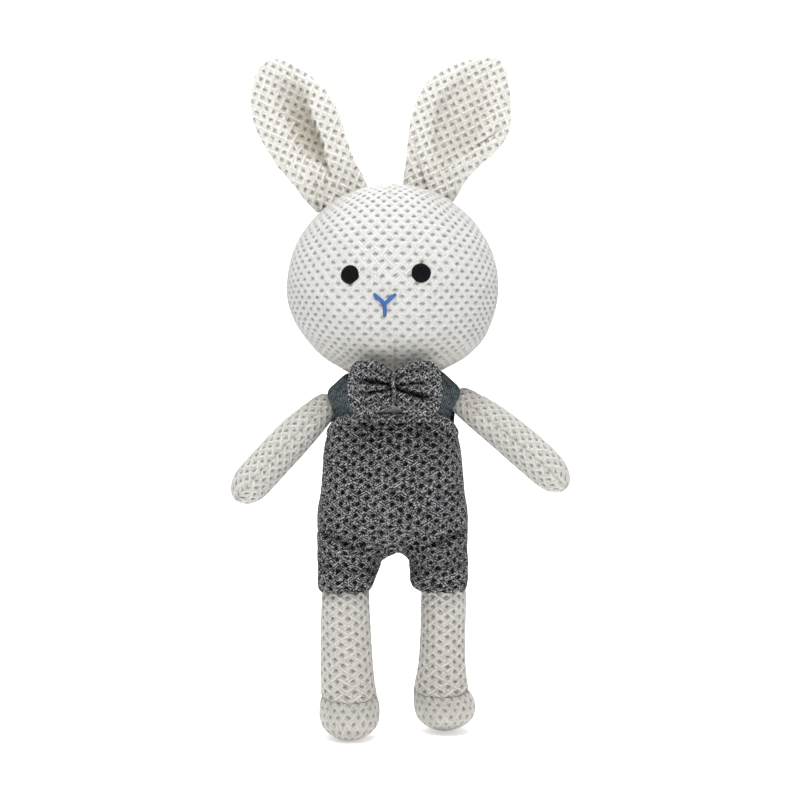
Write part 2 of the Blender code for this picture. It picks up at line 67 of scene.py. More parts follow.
# The upright line through the toy's body: shapes below are drawn about it, in millimetres.
AXIS = middle_of("neck_fill") * (1, 1, 0)
print("the body's axis stands at", AXIS.round(2))

# %% [markdown]
# ## How a surface is made here
#
# Each piece of cloth is a grid of points, worked out as a function of two parameters with numpy.
# Sculpting would also give the shapes, but a formula can be repeated, mirrored and made finer at
# will. A garment is several such grids, or panels, sewn at their edges: points that land on the
# same place become one vertex. Every panel also carries a second grid, its place in the flat
# cloth in millimetres, so the knit follows the cloth and not the room.


# %% Panels, and how they are sewn
def facing_out(points, cloth, inside):
    """The panel with its columns reversed if its faces would point towards the inside point."""
    across = np.diff(points, axis=1)[:-1]
    along = np.diff(points, axis=0)[:, :-1]
    outwards = (np.cross(across, along) * (points[:-1, :-1] - inside)).sum()
    return (points, cloth) if outwards > 0 else (points[:, ::-1], cloth[:, ::-1])


def unit(vectors, least=0.0):
    """Each vector divided by its length."""
    return vectors / np.maximum(np.linalg.norm(vectors, axis=-1, keepdims=True), least)


def walked(points, axis=0):
    """How far each point lies from the first, going from point to point."""
    steps = np.linalg.norm(np.diff(points, axis=axis), axis=-1)
    return np.concatenate([0 * np.take(steps, [0], axis), np.cumsum(steps, axis=axis)], axis)


def quads_of(index):
    """The four corners of every cell in a grid of vertex numbers."""
    return np.stack([index[:-1, :-1], index[:-1, 1:], index[1:, 1:], index[1:, :-1]], -1)


def placed(name, data):
    """A new object in the scene."""
    made = bpy.data.objects.new(name, data)
    bpy.context.scene.collection.objects.link(made)
    return made


def normals_of(points):
    """Unit normals of a grid: the cross product of its slopes across and along."""
    normal = np.cross(np.gradient(points, axis=1), np.gradient(points, axis=0))
    length = np.linalg.norm(normal, axis=2, keepdims=True)
    normal = normal / np.maximum(length, 1e-12)
    for edge, near in ((0, 1), (-1, -2)):  # a row drawn in to one point has no slope of its own
        if length[edge].max() < 1e-6:
            normal[edge] = normal[near].mean(0)
    return normal


def sew(name, panels, body=None):
    """One mesh from panels of (points, cloth), both in mm. Corners that meet are merged. A third
    grid, shade, may follow: how much painted shade darkens each point, from 0 to 1, most in
    folds and hollows and under other parts."""
    corners, flat, start = [], [], 0
    for points, cloth, *_ in panels:
        rows, columns = points.shape[:2]
        index = start + np.arange(rows * columns).reshape(rows, columns)
        corners.append(quads_of(index).reshape(-1, 4))
        flat.append(cloth.reshape(-1, 2))
        start += rows * columns
    corners, flat = np.concatenate(corners), np.concatenate(flat)
    places = np.concatenate([p.reshape(-1, 3) for p, *_ in panels])
    # deep is a panel's grid of painted shade, where it has one
    shade = np.concatenate([(deep[0] if deep else np.zeros(p.shape[:2])).ravel()
                            for p, _, *deep in panels])
    _, first, same = np.unique(np.round(places, 3), axis=0, return_index=True, return_inverse=True)
    same = same.reshape(-1)[corners]
    doubled = same == np.roll(same, -1, axis=1)  # this corner is the next one too
    whole, three = doubled.sum(1) == 0, doubled.sum(1) == 1
    loops = np.concatenate([same[whole].reshape(-1), same[three][~doubled[three]]])
    around = np.concatenate([corners[whole].reshape(-1), corners[three][~doubled[three]]])
    sizes = np.repeat([4, 3], [whole.sum(), three.sum()])

    mesh = bpy.data.meshes.new(name)
    mesh.vertices.add(len(first))
    mesh.vertices.foreach_set("co", ((places[first] + AXIS) * 0.001).astype(np.float32).ravel())
    mesh.loops.add(len(loops))
    mesh.loops.foreach_set("vertex_index", loops.astype(np.int32))
    mesh.polygons.add(len(sizes))
    mesh.polygons.foreach_set("loop_start", np.concatenate([[0], np.cumsum(sizes)[:-1]]))
    mesh.polygons.foreach_set("loop_total", sizes)
    knit = mesh.uv_layers.new(name="cloth")
    knit.uv.foreach_set("vector", flat[around].astype(np.float32).ravel())
    mesh.update(calc_edges=True)
    mesh.validate()
    mesh.shade_smooth()
    # The shade attribute carries the painted shade to the material.
    painted_shade = mesh.attributes.new("shade", "FLOAT", "POINT")
    painted_shade.data.foreach_set("value", np.clip(shade[first], 0, 1).astype(np.float32))
    piece = placed(name, mesh)
    if body:
        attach(piece, body)
    print(f"{name}: {len(first)} points, {2 * whole.sum() + three.sum()} triangles")
    return piece

# %% [markdown]
# ## The honeycomb knit
#
# Up close the cloth is a lattice of small hollows, each row set half a step aside from the last,
# with thick strands of yarn crossing between them. In slanted coordinates along the two
# directions of the strands, a hollow lies wherever both are whole numbers, so one short formula
# gives all of them. The hollows are real dents in the mesh here, because they show in the
# outline and catch the light, and the yarn inside the strands is left to the material.


# %% The lattice of hollows
def step(x, low, high):
    """0 below low, 1 above high, and a smooth S between."""
    x = np.clip((x - low) / (high - low), 0, 1)
    return x * x * (3 - 2 * x)


def curve_through(table, heights):
    """Each column of the table at the heights, on a smooth cubic through its rows."""
    table = np.array(table, float)
    table = table[np.argsort(table[:, 0])]
    x = np.clip(heights, table[0, 0], table[-1, 0])
    i = np.clip(np.searchsorted(table[:, 0], x, side="right") - 1, 0, len(table) - 2)
    slopes = np.gradient(table[:, 1:], table[:, 0], axis=0)
    h = table[i + 1, 0] - table[i, 0]
    t = ((x - table[i, 0]) / h)[..., None]
    h = h[..., None]
    a, b, ma, mb = table[i, 1:], table[i + 1, 1:], slopes[i] * h, slopes[i + 1] * h
    return ((2 * t ** 3 - 3 * t ** 2 + 1) * a + (t ** 3 - 2 * t ** 2 + t) * ma
            + (-2 * t ** 3 + 3 * t ** 2) * b + (t ** 3 - t ** 2) * mb)


def wander(x, y, seed, size):
    """A gentle random field from -1 to 1: five sine waves of random direction and phase."""
    draw = np.random.default_rng(seed)
    total = 0
    for _ in range(5):
        angle, phase, scale = draw.uniform(0, 2 * np.pi, 3)
        length = size * (0.7 + 0.1 * scale)
        total = total + np.sin((x * np.cos(angle) + y * np.sin(angle)) * 2 * np.pi / length + phase)
    return total / 5


def drift(x, y, seed, size):
    """Two gentle random fields: how far the knit strays across and along the cloth."""
    return np.stack([wander(x, y, seed, size), wander(x, y, seed + 1, size)], -1)


def hollows(cloth, pitch, rise, narrow, trim):
    """1 in the middle of a hollow, 0 on the yarn: (cos² pi a · cos² pi b) to the power narrow,
    where a and b are across / pitch plus and minus up / (2 · rise). A trim above 0 makes the
    hollows less wide, by cos² pi (a + b) to its power, and one below 0 makes them less tall."""
    a = cloth[..., 0] / pitch + cloth[..., 1] / (2 * rise)
    b = cloth[..., 0] / pitch - cloth[..., 1] / (2 * rise)
    less = np.cos(np.pi * (a + np.sign(trim) * b)) ** 2
    return (np.cos(np.pi * a) ** 2 * np.cos(np.pi * b) ** 2) ** narrow * less ** abs(trim)


KNITS = {  # pitch and rise of the lattice, how narrow and how trimmed its hollows are, and depth
    "head": (6.5, 3.75, 1.05, -0.45, 1.05),
    "arm": (5.4, 2.85, 1.05, 0.25, 0.85),
    "leg": (8.1, 2.56, 0.80, 0.45, 1.15),
    "foot": (4.9, 4.20, 1.10, -0.25, 0.80),
    "ear": (5.6, 3.05, 0.95, 0.15, 1.05),
    "romper": (9.2, 2.9, 0.85, 0.35, 1.50),
    "bow": (5.2, 2.2, 1.30, 0.25, 0.75),
}


def knitted(points, cloth, kind, fade=1.0, normals=None, lumps=0.35, seed=1):
    """The panel with its hollows pressed in and some lumps of filling. fade is 0 on a seam."""
    normals = normals_of(points) if normals is None else normals
    press = hollows(cloth, *KNITS[kind][:4]) * KNITS[kind][4]
    lump = wander(points[..., 0] + points[..., 1], points[..., 2] - points[..., 1], seed, 30)
    return points + normals * (fade * (lumps * lump - press))[..., None]


print("knits:", {kind: values[:2] for kind, values in KNITS.items()})

# %% [markdown]
# ## The head
#
# The head is two rounded panels, face and back, sewn round the edge. A sphere with its poles up
# and down would pinch the knit at the crown. Instead a square grid is rounded into a disc and
# wrapped over half the head, with the middle of the disc at the nose, so the rows run level
# across the face and bow towards the seam, as they do when a flat piece is stuffed.

# %% Two panels for the head
HEAD = {"middle": 226.3, "wide": 54.3, "deep": 46.0, "up": 53.2, "down": 47.4}


def disc(count):
    """A square grid rounded into a unit disc: x · sqrt(1 - y²/2) and y · sqrt(1 - x²/2)."""
    x, y = np.meshgrid(np.linspace(-1, 1, count), np.linspace(-1, 1, count))
    return x * np.sqrt(1 - y * y / 2), y * np.sqrt(1 - x * x / 2)


def head_panel(side, count):
    """Half an egg. Its flat cloth is the disc; on the head, the distance from the disc's middle
    is an angle from the nose, and the direction stays. side is -1 for the face."""
    x, y = disc(count)
    angle, way = np.hypot(x, y) * np.pi / 2, np.arctan2(y, x)
    tall = np.where(y > 0, HEAD["up"], HEAD["down"])
    z = HEAD["middle"] + tall * np.sin(angle) * np.sin(way)
    # One cheek is a little fuller than the other where the head narrows to the neck.
    fuller = -0.022 + 0.055 * step(x, -0.35, 0.35)
    jowl = 1 + fuller * np.exp(-((z - 196) / 11) ** 2)
    points = np.stack([HEAD["wide"] * jowl * np.sin(angle) * np.cos(way),
                       side * HEAD["deep"] * jowl * np.cos(angle), z], -1)
    cloth = np.stack([x, y], -1) * 84.0 + (1.5, 0.8)
    cloth = cloth + 0.45 * drift(x, y, 3, 0.35)
    centre = np.array([0, 0, HEAD["middle"]])
    points, cloth = facing_out(points, cloth, centre)
    to_seam = (1 - np.hypot(x, y)) * 78.0
    dart = np.exp(-((points[..., 0] - 1.2) / 0.7) ** 2) * step(200 - points[..., 2], 0, 7)
    crown = np.exp(-((points[..., 0] + 1.5) / 0.8) ** 2) * step(points[..., 2], 262, 272)
    dart = (dart + 0.5 * crown) * (points[..., 1] < 0)
    groove = 1.2 * np.exp(-(to_seam / 1.1) ** 2) + 0.9 * dart
    normal = normals_of(points)
    fade = step(to_seam, 0.3, 2.6) * (1 - 0.8 * dart)
    points = knitted(points, cloth, "head", fade, normal, lumps=0.55, seed=5)
    # Painted shade: darker along the dart and crown lines, and low on the head under the chin.
    painted_chin_shade = 0.62 * step(208 - points[..., 2], 0, 28)
    dark = np.clip(dart, 0, 1) * 0.5 + painted_chin_shade
    return points + unit(centre - points) * groove[..., None], cloth, dark


head_face = sew("head_face", [head_panel(-1, 270)], "head")
head_back = sew("head_back", [head_panel(1, 250)], "head")

# %% [markdown]
# ## The ears
#
# Each ear is a front and a back panel sewn round the rim and lightly filled. The one on the left
# is cupped, with its inner rim rolled over the hollow, and the one on the right lies flatter.
# Both are one formula with different numbers: an outline along a leaning axis, a back that
# swells, and a front that is pushed in where the hollow is.

# %% The shape of an ear
EARS = {
    # Rows of "edges": up, and how far the ear reaches to either side of its axis. Rows of "well":
    # up, left edge, right edge and depth of the hollow, and how soft its two edges are. All in mm.
    "left": {"root": (-31.0, 278.5), "lean": -25.5, "tall": 71.5, "cup": 4.0, "fold": 0.0,
             "edges": ((-9, -13.0, 16.6), (0, -16.0, 16.6), (6, -17.2, 16.3), (12, -18.6, 16.6),
                       (20, -20.9, 17.8), (28, -21.9, 18.8), (36, -22.7, 19.4),
                       (44, -22.6, 18.6), (52, -20.8, 16.2), (59, -17.6, 12.9),
                       (65, -13.6, 8.6), (69, -9.4, 4.6), (71, -5.6, 0.8), (71.5, -2.5, -2.4)),
             "well": ((-9, 0.5, 1.5, 0.0, 2, 1.0), (6, -0.5, 2.1, 2.6, 2, 0.9),
                      (12, -1.5, 2.7, 6.2, 2.5, 0.9), (20, -5.0, 4.2, 8.8, 2.8, 0.9),
                      (28, -6.4, 5.2, 10.0, 3.0, 1.0), (38, -6.4, 5.6, 9.4, 3.6, 1.6),
                      (46, -6.4, 7.2, 6.8, 4.0, 3.0), (54, -5.0, 6.4, 3.4, 4.0, 4.0),
                      (61, -3.5, 4.0, 0.0, 4.0, 4.0))},
    "right": {"root": (20.7, 278.5), "lean": 26.3, "tall": 73.0, "cup": 3.0, "fold": 1.0,
              "edges": ((-9, -13.4, 11.4), (0, -16.6, 13.4), (6, -18.5, 13.7), (12, -20.8, 14.6),
                        (20, -23.8, 17.2), (28, -25.8, 20.6), (36, -27.0, 22.6),
                        (44, -26.6, 22.2), (52, -23.8, 18.8), (60, -18.2, 14.4),
                        (66, -11.8, 10.2), (70.5, -5.8, 6.6), (72.5, -1.4, 3.2),
                        (73, 1.0, 1.1)),
              "well": ((-9, -1, 0, 0, 2.5, 1.5), (6, -2.2, 0.8, 1.4, 2.5, 1.5),
                       (12, -4.7, 3.0, 3.2, 2.4, 2), (20, -8.7, 7.2, 4.6, 2.4, 3),
                       (30, -13.4, 11.5, 5.2, 2.6, 4), (38, -15.8, 12, 4.6, 3, 4),
                       (46, -15.0, 9.0, 3.4, 4, 4.5), (54, -11.0, 6.0, 2.0, 4.5, 4.5),
                       (62, -7.0, 3.0, 0.0, 5, 5))},
}


def ear_well(ear, over, up, soften=1.0):
    """Depth of the hollow: its table's depth, between two S-shaped edges."""
    left, right, deep, soft_left, soft_right = np.moveaxis(curve_through(ear["well"], up), -1, 0)
    rise = step(over, left - soft_left * soften, left + soft_left * soften)
    fall = 1 - step(over, right - soft_right * soften, right + soft_right * soften)
    return np.maximum(deep, 0) * rise * fall


def ear_panel(ear, side, rows=190, columns=124):
    """side -1 is the front. v runs over the ear and up runs to its tip. The back stands
    4.8 · (1 - v²)^0.5 mm proud and the front a little more, the rims come forward by cup · v²,
    and the front is less its hollow, which pushes the back out."""
    v, u = np.meshgrid(np.sin(np.linspace(-1, 1, columns) * np.pi / 2),
                       np.linspace(0, 1, rows))
    up = -9 + (ear["tall"] + 9) * np.sin(u * np.pi / 2)
    left, right = np.moveaxis(curve_through(ear["edges"], up), -1, 0)
    half = (right - left) / 2
    over = (right + left) / 2 + half * v
    body = np.sqrt(np.clip(1 - v * v, 0, 1)) * np.clip(half / 12, 0, 1) ** 0.6
    forward = ear["cup"] * v * v * step(70 - up, 0, 35) * step(up, -12, 16)
    tip_curl = 2.0 * step(up, 45, ear["tall"]) ** 1.5
    # Pinches at the foot of the ear, where the wide panel is gathered to the head.
    gather = np.exp(-((over - 0.34 * up + 8.5) / 0.8) ** 2)
    gather = gather + 0.8 * np.exp(-((over - 0.55 * up + 3.4) / 0.8) ** 2)
    gather = gather * (1 - ear["fold"]) * step(13 - up, 0, 8)
    # A diagonal fold, its outer lip rolled over, and a tuck low on the other side.
    line = over + 3.4 - 0.545 * up
    reach = step(up, 4, 12) * ear["fold"]
    lip = step(line, -0.3, 0.7) * np.exp(-np.maximum(line, 0) / 5) * step(43 - up, 0, 9) * reach
    groove = np.exp(-(line / 0.8) ** 2) * step(44 - up, 0, 8) * reach
    tuck = np.exp(-((over + 6.0 + 0.86 * (up - 0.6)) / 0.55) ** 2) * step(17 - up, 0, 3)
    tuck = tuck * ear["fold"]
    if side < 0:
        plump = body ** 0.75 * (1 + 0.3 * np.exp(-((np.abs(v) - 0.6) / 0.22) ** 2)
                                * step(66 - up, 0, 30))
        well = ear_well(ear, over, up)
        out = 5.0 * plump - well - 1.3 * gather + 2.8 * lip - 1.5 * groove - 1.6 * tuck
        # Painted shade: darker in the hollow, in the gathers, the fold's groove and the tuck, and towards
        # the root.
        dark = 0.9 * ear_well(ear, over, up, 1.25) / 10 + 0.45 * (gather + groove + tuck)
        dark = dark + 0.25 * step(9 - up, 0, 12)
    else:
        out = -4.8 * body - 0.66 * ear_well(ear, over, up, 2.4) * body
        # Painted shade towards the root of the ear.
        dark = 0.15 * step(9 - up, 0, 12)
    lean = math.radians(ear["lean"])
    x = ear["root"][0] + up * math.sin(lean) + over * math.cos(lean)
    z = ear["root"][1] + up * math.cos(lean) - over * math.sin(lean)
    points = np.stack([x, -(forward + out + tip_curl), z], -1)
    points[-1] = points[-1].mean(0)
    turned = 0.10 if ear["fold"] else -0.06  # the knit runs a little aslant of the ear
    cloth = np.stack([over + turned * up + side * 0.7, up - turned * over + 0.4], -1)
    cloth = cloth + 0.5 * drift(over, up, 7, 22)
    normal = normals_of(points)
    if (normal[rows // 2, columns // 2, 1] < 0) != (side < 0):
        normal = -normal
        points, cloth, normal, v, dark = (a[:, ::-1] for a in (points, cloth, normal, v, dark))
    to_rim = (1 - np.abs(v)) * half
    fade = step(to_rim, 0.4, 4.0) * step(ear["tall"] - up, 0.5, 6.0)
    return knitted(points, cloth, "ear", fade, normal, lumps=0.3, seed=9), cloth, dark


ears = {side: sew(f"ear_{side}", [ear_panel(EARS[side], -1), ear_panel(EARS[side], 1)])
        for side in EARS}

# %% [markdown]
# ## Arms
#
# An arm is a sausage with one end on the shoulder, cut as an upper and an under panel. The seam
# between them runs down the front, where it shows as a fine valley. Each panel's cloth is laid
# out flat from its own middle, so the hollows keep their size and are cut off at the seam.

# %% Arms in two panels
SHOULDERS = {  # the pivot, the arm's slope and length, and how far it arches up
    "left": {"at": (-36.5, 0, 164.0), "slope": 46.4, "length": 64.0, "side": -1, "arch": 0.8},
    "right": {"at": (38.0, 0, 167.0), "slope": 40.1, "length": 67.0, "side": 1, "arch": 2.0},
}


def arm_panel(arm, upper, rows=150, columns=72):
    """A tube about a sloping line: radius 7.8 swells to 10.4 and closes in a rounded hand.
    v = -1 and 1 are the seams, on the front and the back of the arm."""
    v, u = np.meshgrid(np.linspace(-1, 1, columns), np.linspace(0, 1, rows))
    along = -9.4 + (arm["length"] + 9.4) * (0.5 - 0.5 * np.cos(u * np.pi)) ** 0.92
    shoulder = np.sqrt(np.clip(1 - (np.minimum(along, 0) / 9.4) ** 2, 0, 1))
    hand = np.clip((along - arm["length"] + 14) / 14, 0, 1)
    radius = (7.8 + 2.6 * np.sin(np.clip(along / 76, 0, 1) * np.pi) ** 0.8) * shoulder
    radius = radius * np.sqrt(np.clip(1 - hand ** 2.3, 0, 1))
    turn = v * np.pi / 2
    slope = math.radians(arm["slope"])
    out = np.array([arm["side"] * math.cos(slope), 0, -math.sin(slope)])
    top = np.array([arm["side"] * math.sin(slope), 0, math.cos(slope)]) * (1 if upper else -1)
    fore = np.array([0, 1.0, 0])
    arch = arm["arch"] * np.sin(np.clip(along / arm["length"], 0, 1) * np.pi)
    points = (np.array(arm["at"]) + along[..., None] * out
              + (radius * np.cos(turn))[..., None] * top * 0.98
              + (radius * np.sin(turn))[..., None] * fore * 0.95
              + arch[..., None] * np.array([0, 0, 1.0]))
    cloth = np.stack([radius * turn + (2.2 if upper else 0.6), along], -1)
    cloth = cloth + 0.35 * drift(cloth[..., 0], cloth[..., 1], 11, 20)
    points, cloth = facing_out(points, cloth, np.array(arm["at"]) + out * arm["length"] / 2)
    to_seam = (1 - np.abs(v)) * np.pi / 2 * radius
    groove = 0.75 * np.exp(-(to_seam / 0.8) ** 2)
    fade = step(to_seam, 0.3, 2.2)
    normal = normals_of(points)
    inwards = unit(np.array(arm["at"]) + along[..., None] * out - points, 1e-6)
    points = knitted(points, cloth, "arm", fade, normal, lumps=0.4, seed=13)
    # Painted shade: darker in the seam's groove and near the shoulder.
    dark = groove / 1.3 + 0.25 * step(16 - np.linalg.norm(points - arm["at"], axis=2), 0, 12)
    return points + inwards * (groove * np.minimum(radius / 3, 1))[..., None], cloth, dark


arms = {side: sew(f"arm_{side}", [arm_panel(arm, True), arm_panel(arm, False)], f"arm_{side}")
        for side, arm in SHOULDERS.items()}

# %% [markdown]
# ## Legs and feet
#
# A leg is a straight tube and the foot a separate boot-shaped cup sewn to it round the ankle.
# Tubes like these are a stack of ovals: a short table gives the ovals' sizes, a smooth curve
# fills in the heights between, and the seam up the back is where the cloth's two edges meet.


# %% A stack of ovals
def squarer(value, power):
    """A sine or cosine to 2 / power, with its sign kept: above 2, an oval gets fuller corners."""
    return np.sign(value) * np.abs(value) ** (2 / power)


def oval(turn, wide, deep, power=2.0):
    """x and y of an oval; turn 0 is the front, -Y, and the back is at plus and minus pi."""
    return wide * squarer(np.sin(turn), power), -deep * squarer(np.cos(turn), power)


def stack(table, heights, columns, power=2.0, tilt=None):
    """A tube from a table of height, centre x, centre y, half width and half depth."""
    turn, z = np.meshgrid(np.linspace(-np.pi, np.pi, columns), heights)
    cx, cy, wide, deep = np.moveaxis(curve_through(table, z), -1, 0)
    x, y = oval(turn, wide, deep, power)
    if tilt is not None:
        z = z + tilt(turn, z)
    return np.stack([cx + x, cy + y, z], -1), turn


LEGS = {  # height, centre x, centre y, half width, half depth
    "left": ((19.0, -21.8, -13.4, 14.3, 14.4), (24, -22.2, -12.4, 13.8, 13.6),
             (32, -22.8, -10.4, 13.5, 13.2), (50, -23.8, -7.4, 13.0, 13.0),
             (66, -23.9, -4.6, 12.3, 12.6), (74, -23.6, -3.2, 12.0, 12.4), (92, -22.0, 0, 12, 12)),
    "right": ((19.0, 24.9, 4.0, 14.4, 14.0), (24, 25.0, 4.0, 13.6, 13.2),
              (32, 25.2, 3.8, 12.6, 12.8), (50, 25.8, 3.0, 11.7, 12.4),
              (66, 26.2, 2.0, 11.7, 12.4), (74, 26.0, 1.2, 11.6, 12.4), (92, 23.0, 0, 12, 12)),
}
FEET = {
    "left": ((0.0, -21.6, -19.4, 4.0, 9.5), (0.8, -21.5, -19.6, 6.6, 13.4),
             (2.6, -21.4, -20.0, 10.1, 17.4), (5.5, -21.4, -20.0, 13.3, 20.0),
             (10, -21.5, -19.0, 15.1, 21.2), (15, -21.6, -16.4, 15.0, 18.2),
             (19.0, -21.8, -13.4, 14.3, 14.4)),
    "right": ((0.0, 26.2, 4.2, 2.8, 5.5), (0.8, 26.3, 3.2, 5.0, 9.2),
              (2.6, 26.4, 0.8, 8.9, 14.2), (5.5, 26.6, -1.2, 12.8, 18.2),
              (10, 26.6, -2.0, 15.4, 20.6), (15, 26.2, 0.6, 15.6, 18.4),
              (19.0, 24.9, 4.0, 14.4, 14.0)),
}


def ankle_line(turn, z):
    """The ankle seam dips at the instep and rises at the sides."""
    return (1.3 - 2.4 * np.cos(turn / 2) ** 6) * step(34 - z, 0, 15) * step(z, 6, 17)


def leg_tube(side):
    """The leg from inside the romper down to the ankle seam."""
    points, turn = stack(LEGS[side], np.linspace(92, 19.0, 150), 150, 2.1, ankle_line)
    z = points[..., 2]
    cloth = np.stack([turn * 13.0 + 0.04 * z, z], -1)
    cloth = cloth + 0.35 * drift(cloth[..., 0], cloth[..., 1], 15, 22)
    points, cloth = facing_out(points, cloth, points.mean((0, 1)))
    to_seam = np.minimum((np.pi - np.abs(turn)) * 13, z - z[-1:])
    groove = 0.55 * np.exp(-(to_seam / 0.8) ** 2)
    normal = normals_of(points)
    normal[..., 2] = 0
    points = knitted(points, cloth, "leg", step(to_seam, 0.3, 2.2), normal, 0.3, 17)
    # Painted shade in the seam's groove.
    return points - normal * groove[..., None], cloth, groove * 0.6


def foot_cup(side):
    """The foot from the ankle seam over the toe to the rim of the sole."""
    heights = 19.0 * (1 - np.linspace(0, 1, 84)) ** 1.35
    points, turn = stack(FEET[side], heights, 150, 2.15, ankle_line)
    z = points[..., 2]
    walk = walked(points)
    cloth = np.stack([turn * 15.5, -walk * 0.92 + 1.0], -1)
    points, cloth = facing_out(points, cloth, points.mean((0, 1)))
    normal = normals_of(points)
    flatter = normal * (1, 1, 0)
    to_seam = np.minimum((np.pi - np.abs(turn)) * 13, walk)
    groove = 0.55 * np.exp(-(to_seam / 0.8) ** 2)
    fade = step(to_seam, 0.3, 2.2) * step(z, 1.6, 3.6)
    points = knitted(points, cloth, "foot", fade, normal, 0.3, 18)
    # Painted shade in the seam's groove.
    return points - flatter * groove[..., None], cloth, groove * 0.6


def sole_disc(side):
    """The sole: ovals that shrink to a point, pressed flat on the ground."""
    share, turn = np.meshgrid(np.linspace(1, 0, 40), np.linspace(-np.pi, np.pi, 150),
                              indexing="ij")
    _, cx, cy, wide, deep = FEET[side][0]
    x, y = oval(turn, wide * share, deep * share, 2.15)
    points = np.stack([cx + x, cy + y, np.zeros_like(x)], -1)
    cloth = points[..., :2]
    points, cloth = facing_out(points, cloth, np.array([cx, cy, 10.0]))
    rim = step(share, 1.0, 0.9)
    press = hollows(cloth, *KNITS["foot"][:4]) * 0.4 * rim
    return points + np.stack([0 * x, 0 * x, press], -1), cloth


legs, feet = {}, {}
for side in LEGS:
    legs[side] = sew(f"leg_{side}", [leg_tube(side)], f"leg_{side}")
    feet[side] = sew(f"foot_{side}", [foot_cup(side), sole_disc(side)], f"leg_{side}")

# %% [markdown]
# ## The torso
#
# Little of the torso shows: the neck behind the bow tie, and the shoulders beside the straps. It
# is one closed stack of ovals that narrows into the head.

# %% Torso and neck
TORSO = ((99, 0, 0, 1.0, 0.8), (99.6, 0, 0, 9, 6.5), (102, 0, 0, 19, 13.5), (106, 0, 0, 26.5, 18),
         (112, 0, 0, 31.5, 21.5), (120, 0, 0, 33.5, 23.6), (130, 0, 0, 33.0, 24.0),
         (142, 0, 0, 31.4, 23.0), (152, 0, 0, 29.8, 21.6), (162, 0, 0, 28.8, 19.8),
         (169, 0, 0, 26.6, 18.2), (175, 0, 0, 24.2, 17.4), (180, 0, 0, 22.8, 17.0),
         (186, 0, 0, 22.0, 16.6), (190, 0, 0, 18.0, 13.0), (192.5, 0, 0, 9.0, 7.0),
         (193, 0, 0, 0.6, 0.5))


def torso_tube():
    """Ovals from the seat to the neck, with the cloth's seam up the back."""
    heights = 146 + 47 * np.sin(np.linspace(1, -1, 190) * np.pi / 2)
    points, turn = stack(TORSO, heights, 190, 2.2)
    points[0], points[-1] = points[0].mean(0), points[-1].mean(0)
    cloth = np.stack([turn * 30 + 1.6, points[..., 2]], -1)
    points, cloth = facing_out(points, cloth, np.array([0, 0, 140.0]))
    to_seam = (np.pi - np.abs(turn)) * 28
    points = knitted(points, cloth, "head", step(to_seam, 0.3, 2.2), None, 0.3, 19)
    # Painted shade on the neck above the bib, under the bow tie and the head.
    return points, cloth, 0.55 * step(points[..., 2], 154, 160)


torso = sew("torso", [torso_tube()], "torso")

# %% [markdown]
# ## The romper
#
# Trousers are the classic hard shape for a grid, because one tube becomes two. The way out is to
# make each half of the garment one grid: its rows start at the centre front, pass round the hip
# and end at the centre back. Above the crotch a row is half an oval. Below it the row closes
# into a whole oval round one leg. In between, the two ends are drawn together under the body,
# and that curve is the crotch. The halves meet exactly at the centre.

# %% Half a romper
TRUNK = ((104, 38.5, 26.8), (112, 38.6, 27.8), (121, 37.2, 27.8), (133, 36.0, 27.0),
         (146, 34.8, 25.6), (153, 33.2, 24.4), (160, 31.2, 22.8), (164, 30.0, 22.0))
TROUSER = {  # height, centre x, centre y, half width, half depth: each leg has its own lean
    -1: ((71.4, -24.6, -4.2, 12.2, 13.6), (73, -24.4, -4.0, 13.6, 15.4),
         (77, -23.7, -3.6, 14.7, 16.8), (82, -22.8, -2.8, 15.6, 18.0),
         (86, -22.2, -2.0, 16.4, 19.4), (90, -21.6, -1.4, 16.8, 21.0),
         (92, -20.5, -0.7, 17.9, 22.5), (94, -19.2, 0, 19.3, 24.0)),
    1: ((71.4, 25.0, 0.8, 11.6, 13.4), (73, 24.4, 0.8, 13.3, 15.2),
        (77, 23.8, 0.8, 14.9, 16.6), (82, 23.6, 0.6, 15.1, 18.0),
        (86, 23.5, 0.4, 15.3, 19.4), (90, 22.8, 0.3, 15.6, 21.0),
        (92, 21.2, 0.2, 17.1, 22.5), (94, 19.2, 0, 19.2, 24.0)),
}
CROTCH, HIP, LEG_TOP, HEM = 90.6, 105.0, 96.0, 71.4
FULL = 2.3  # how full the corners of the hip's ovals are


def romper_rows():
    """Rows for the trunk, for the draw-in under the body, and for the leg and its turned hem."""
    trunk = np.linspace(0, 1, 96)[:-1]
    under = np.linspace(0, 1, 60)[:-1]
    leg = np.linspace(0, 1, 52)
    return trunk, under, leg


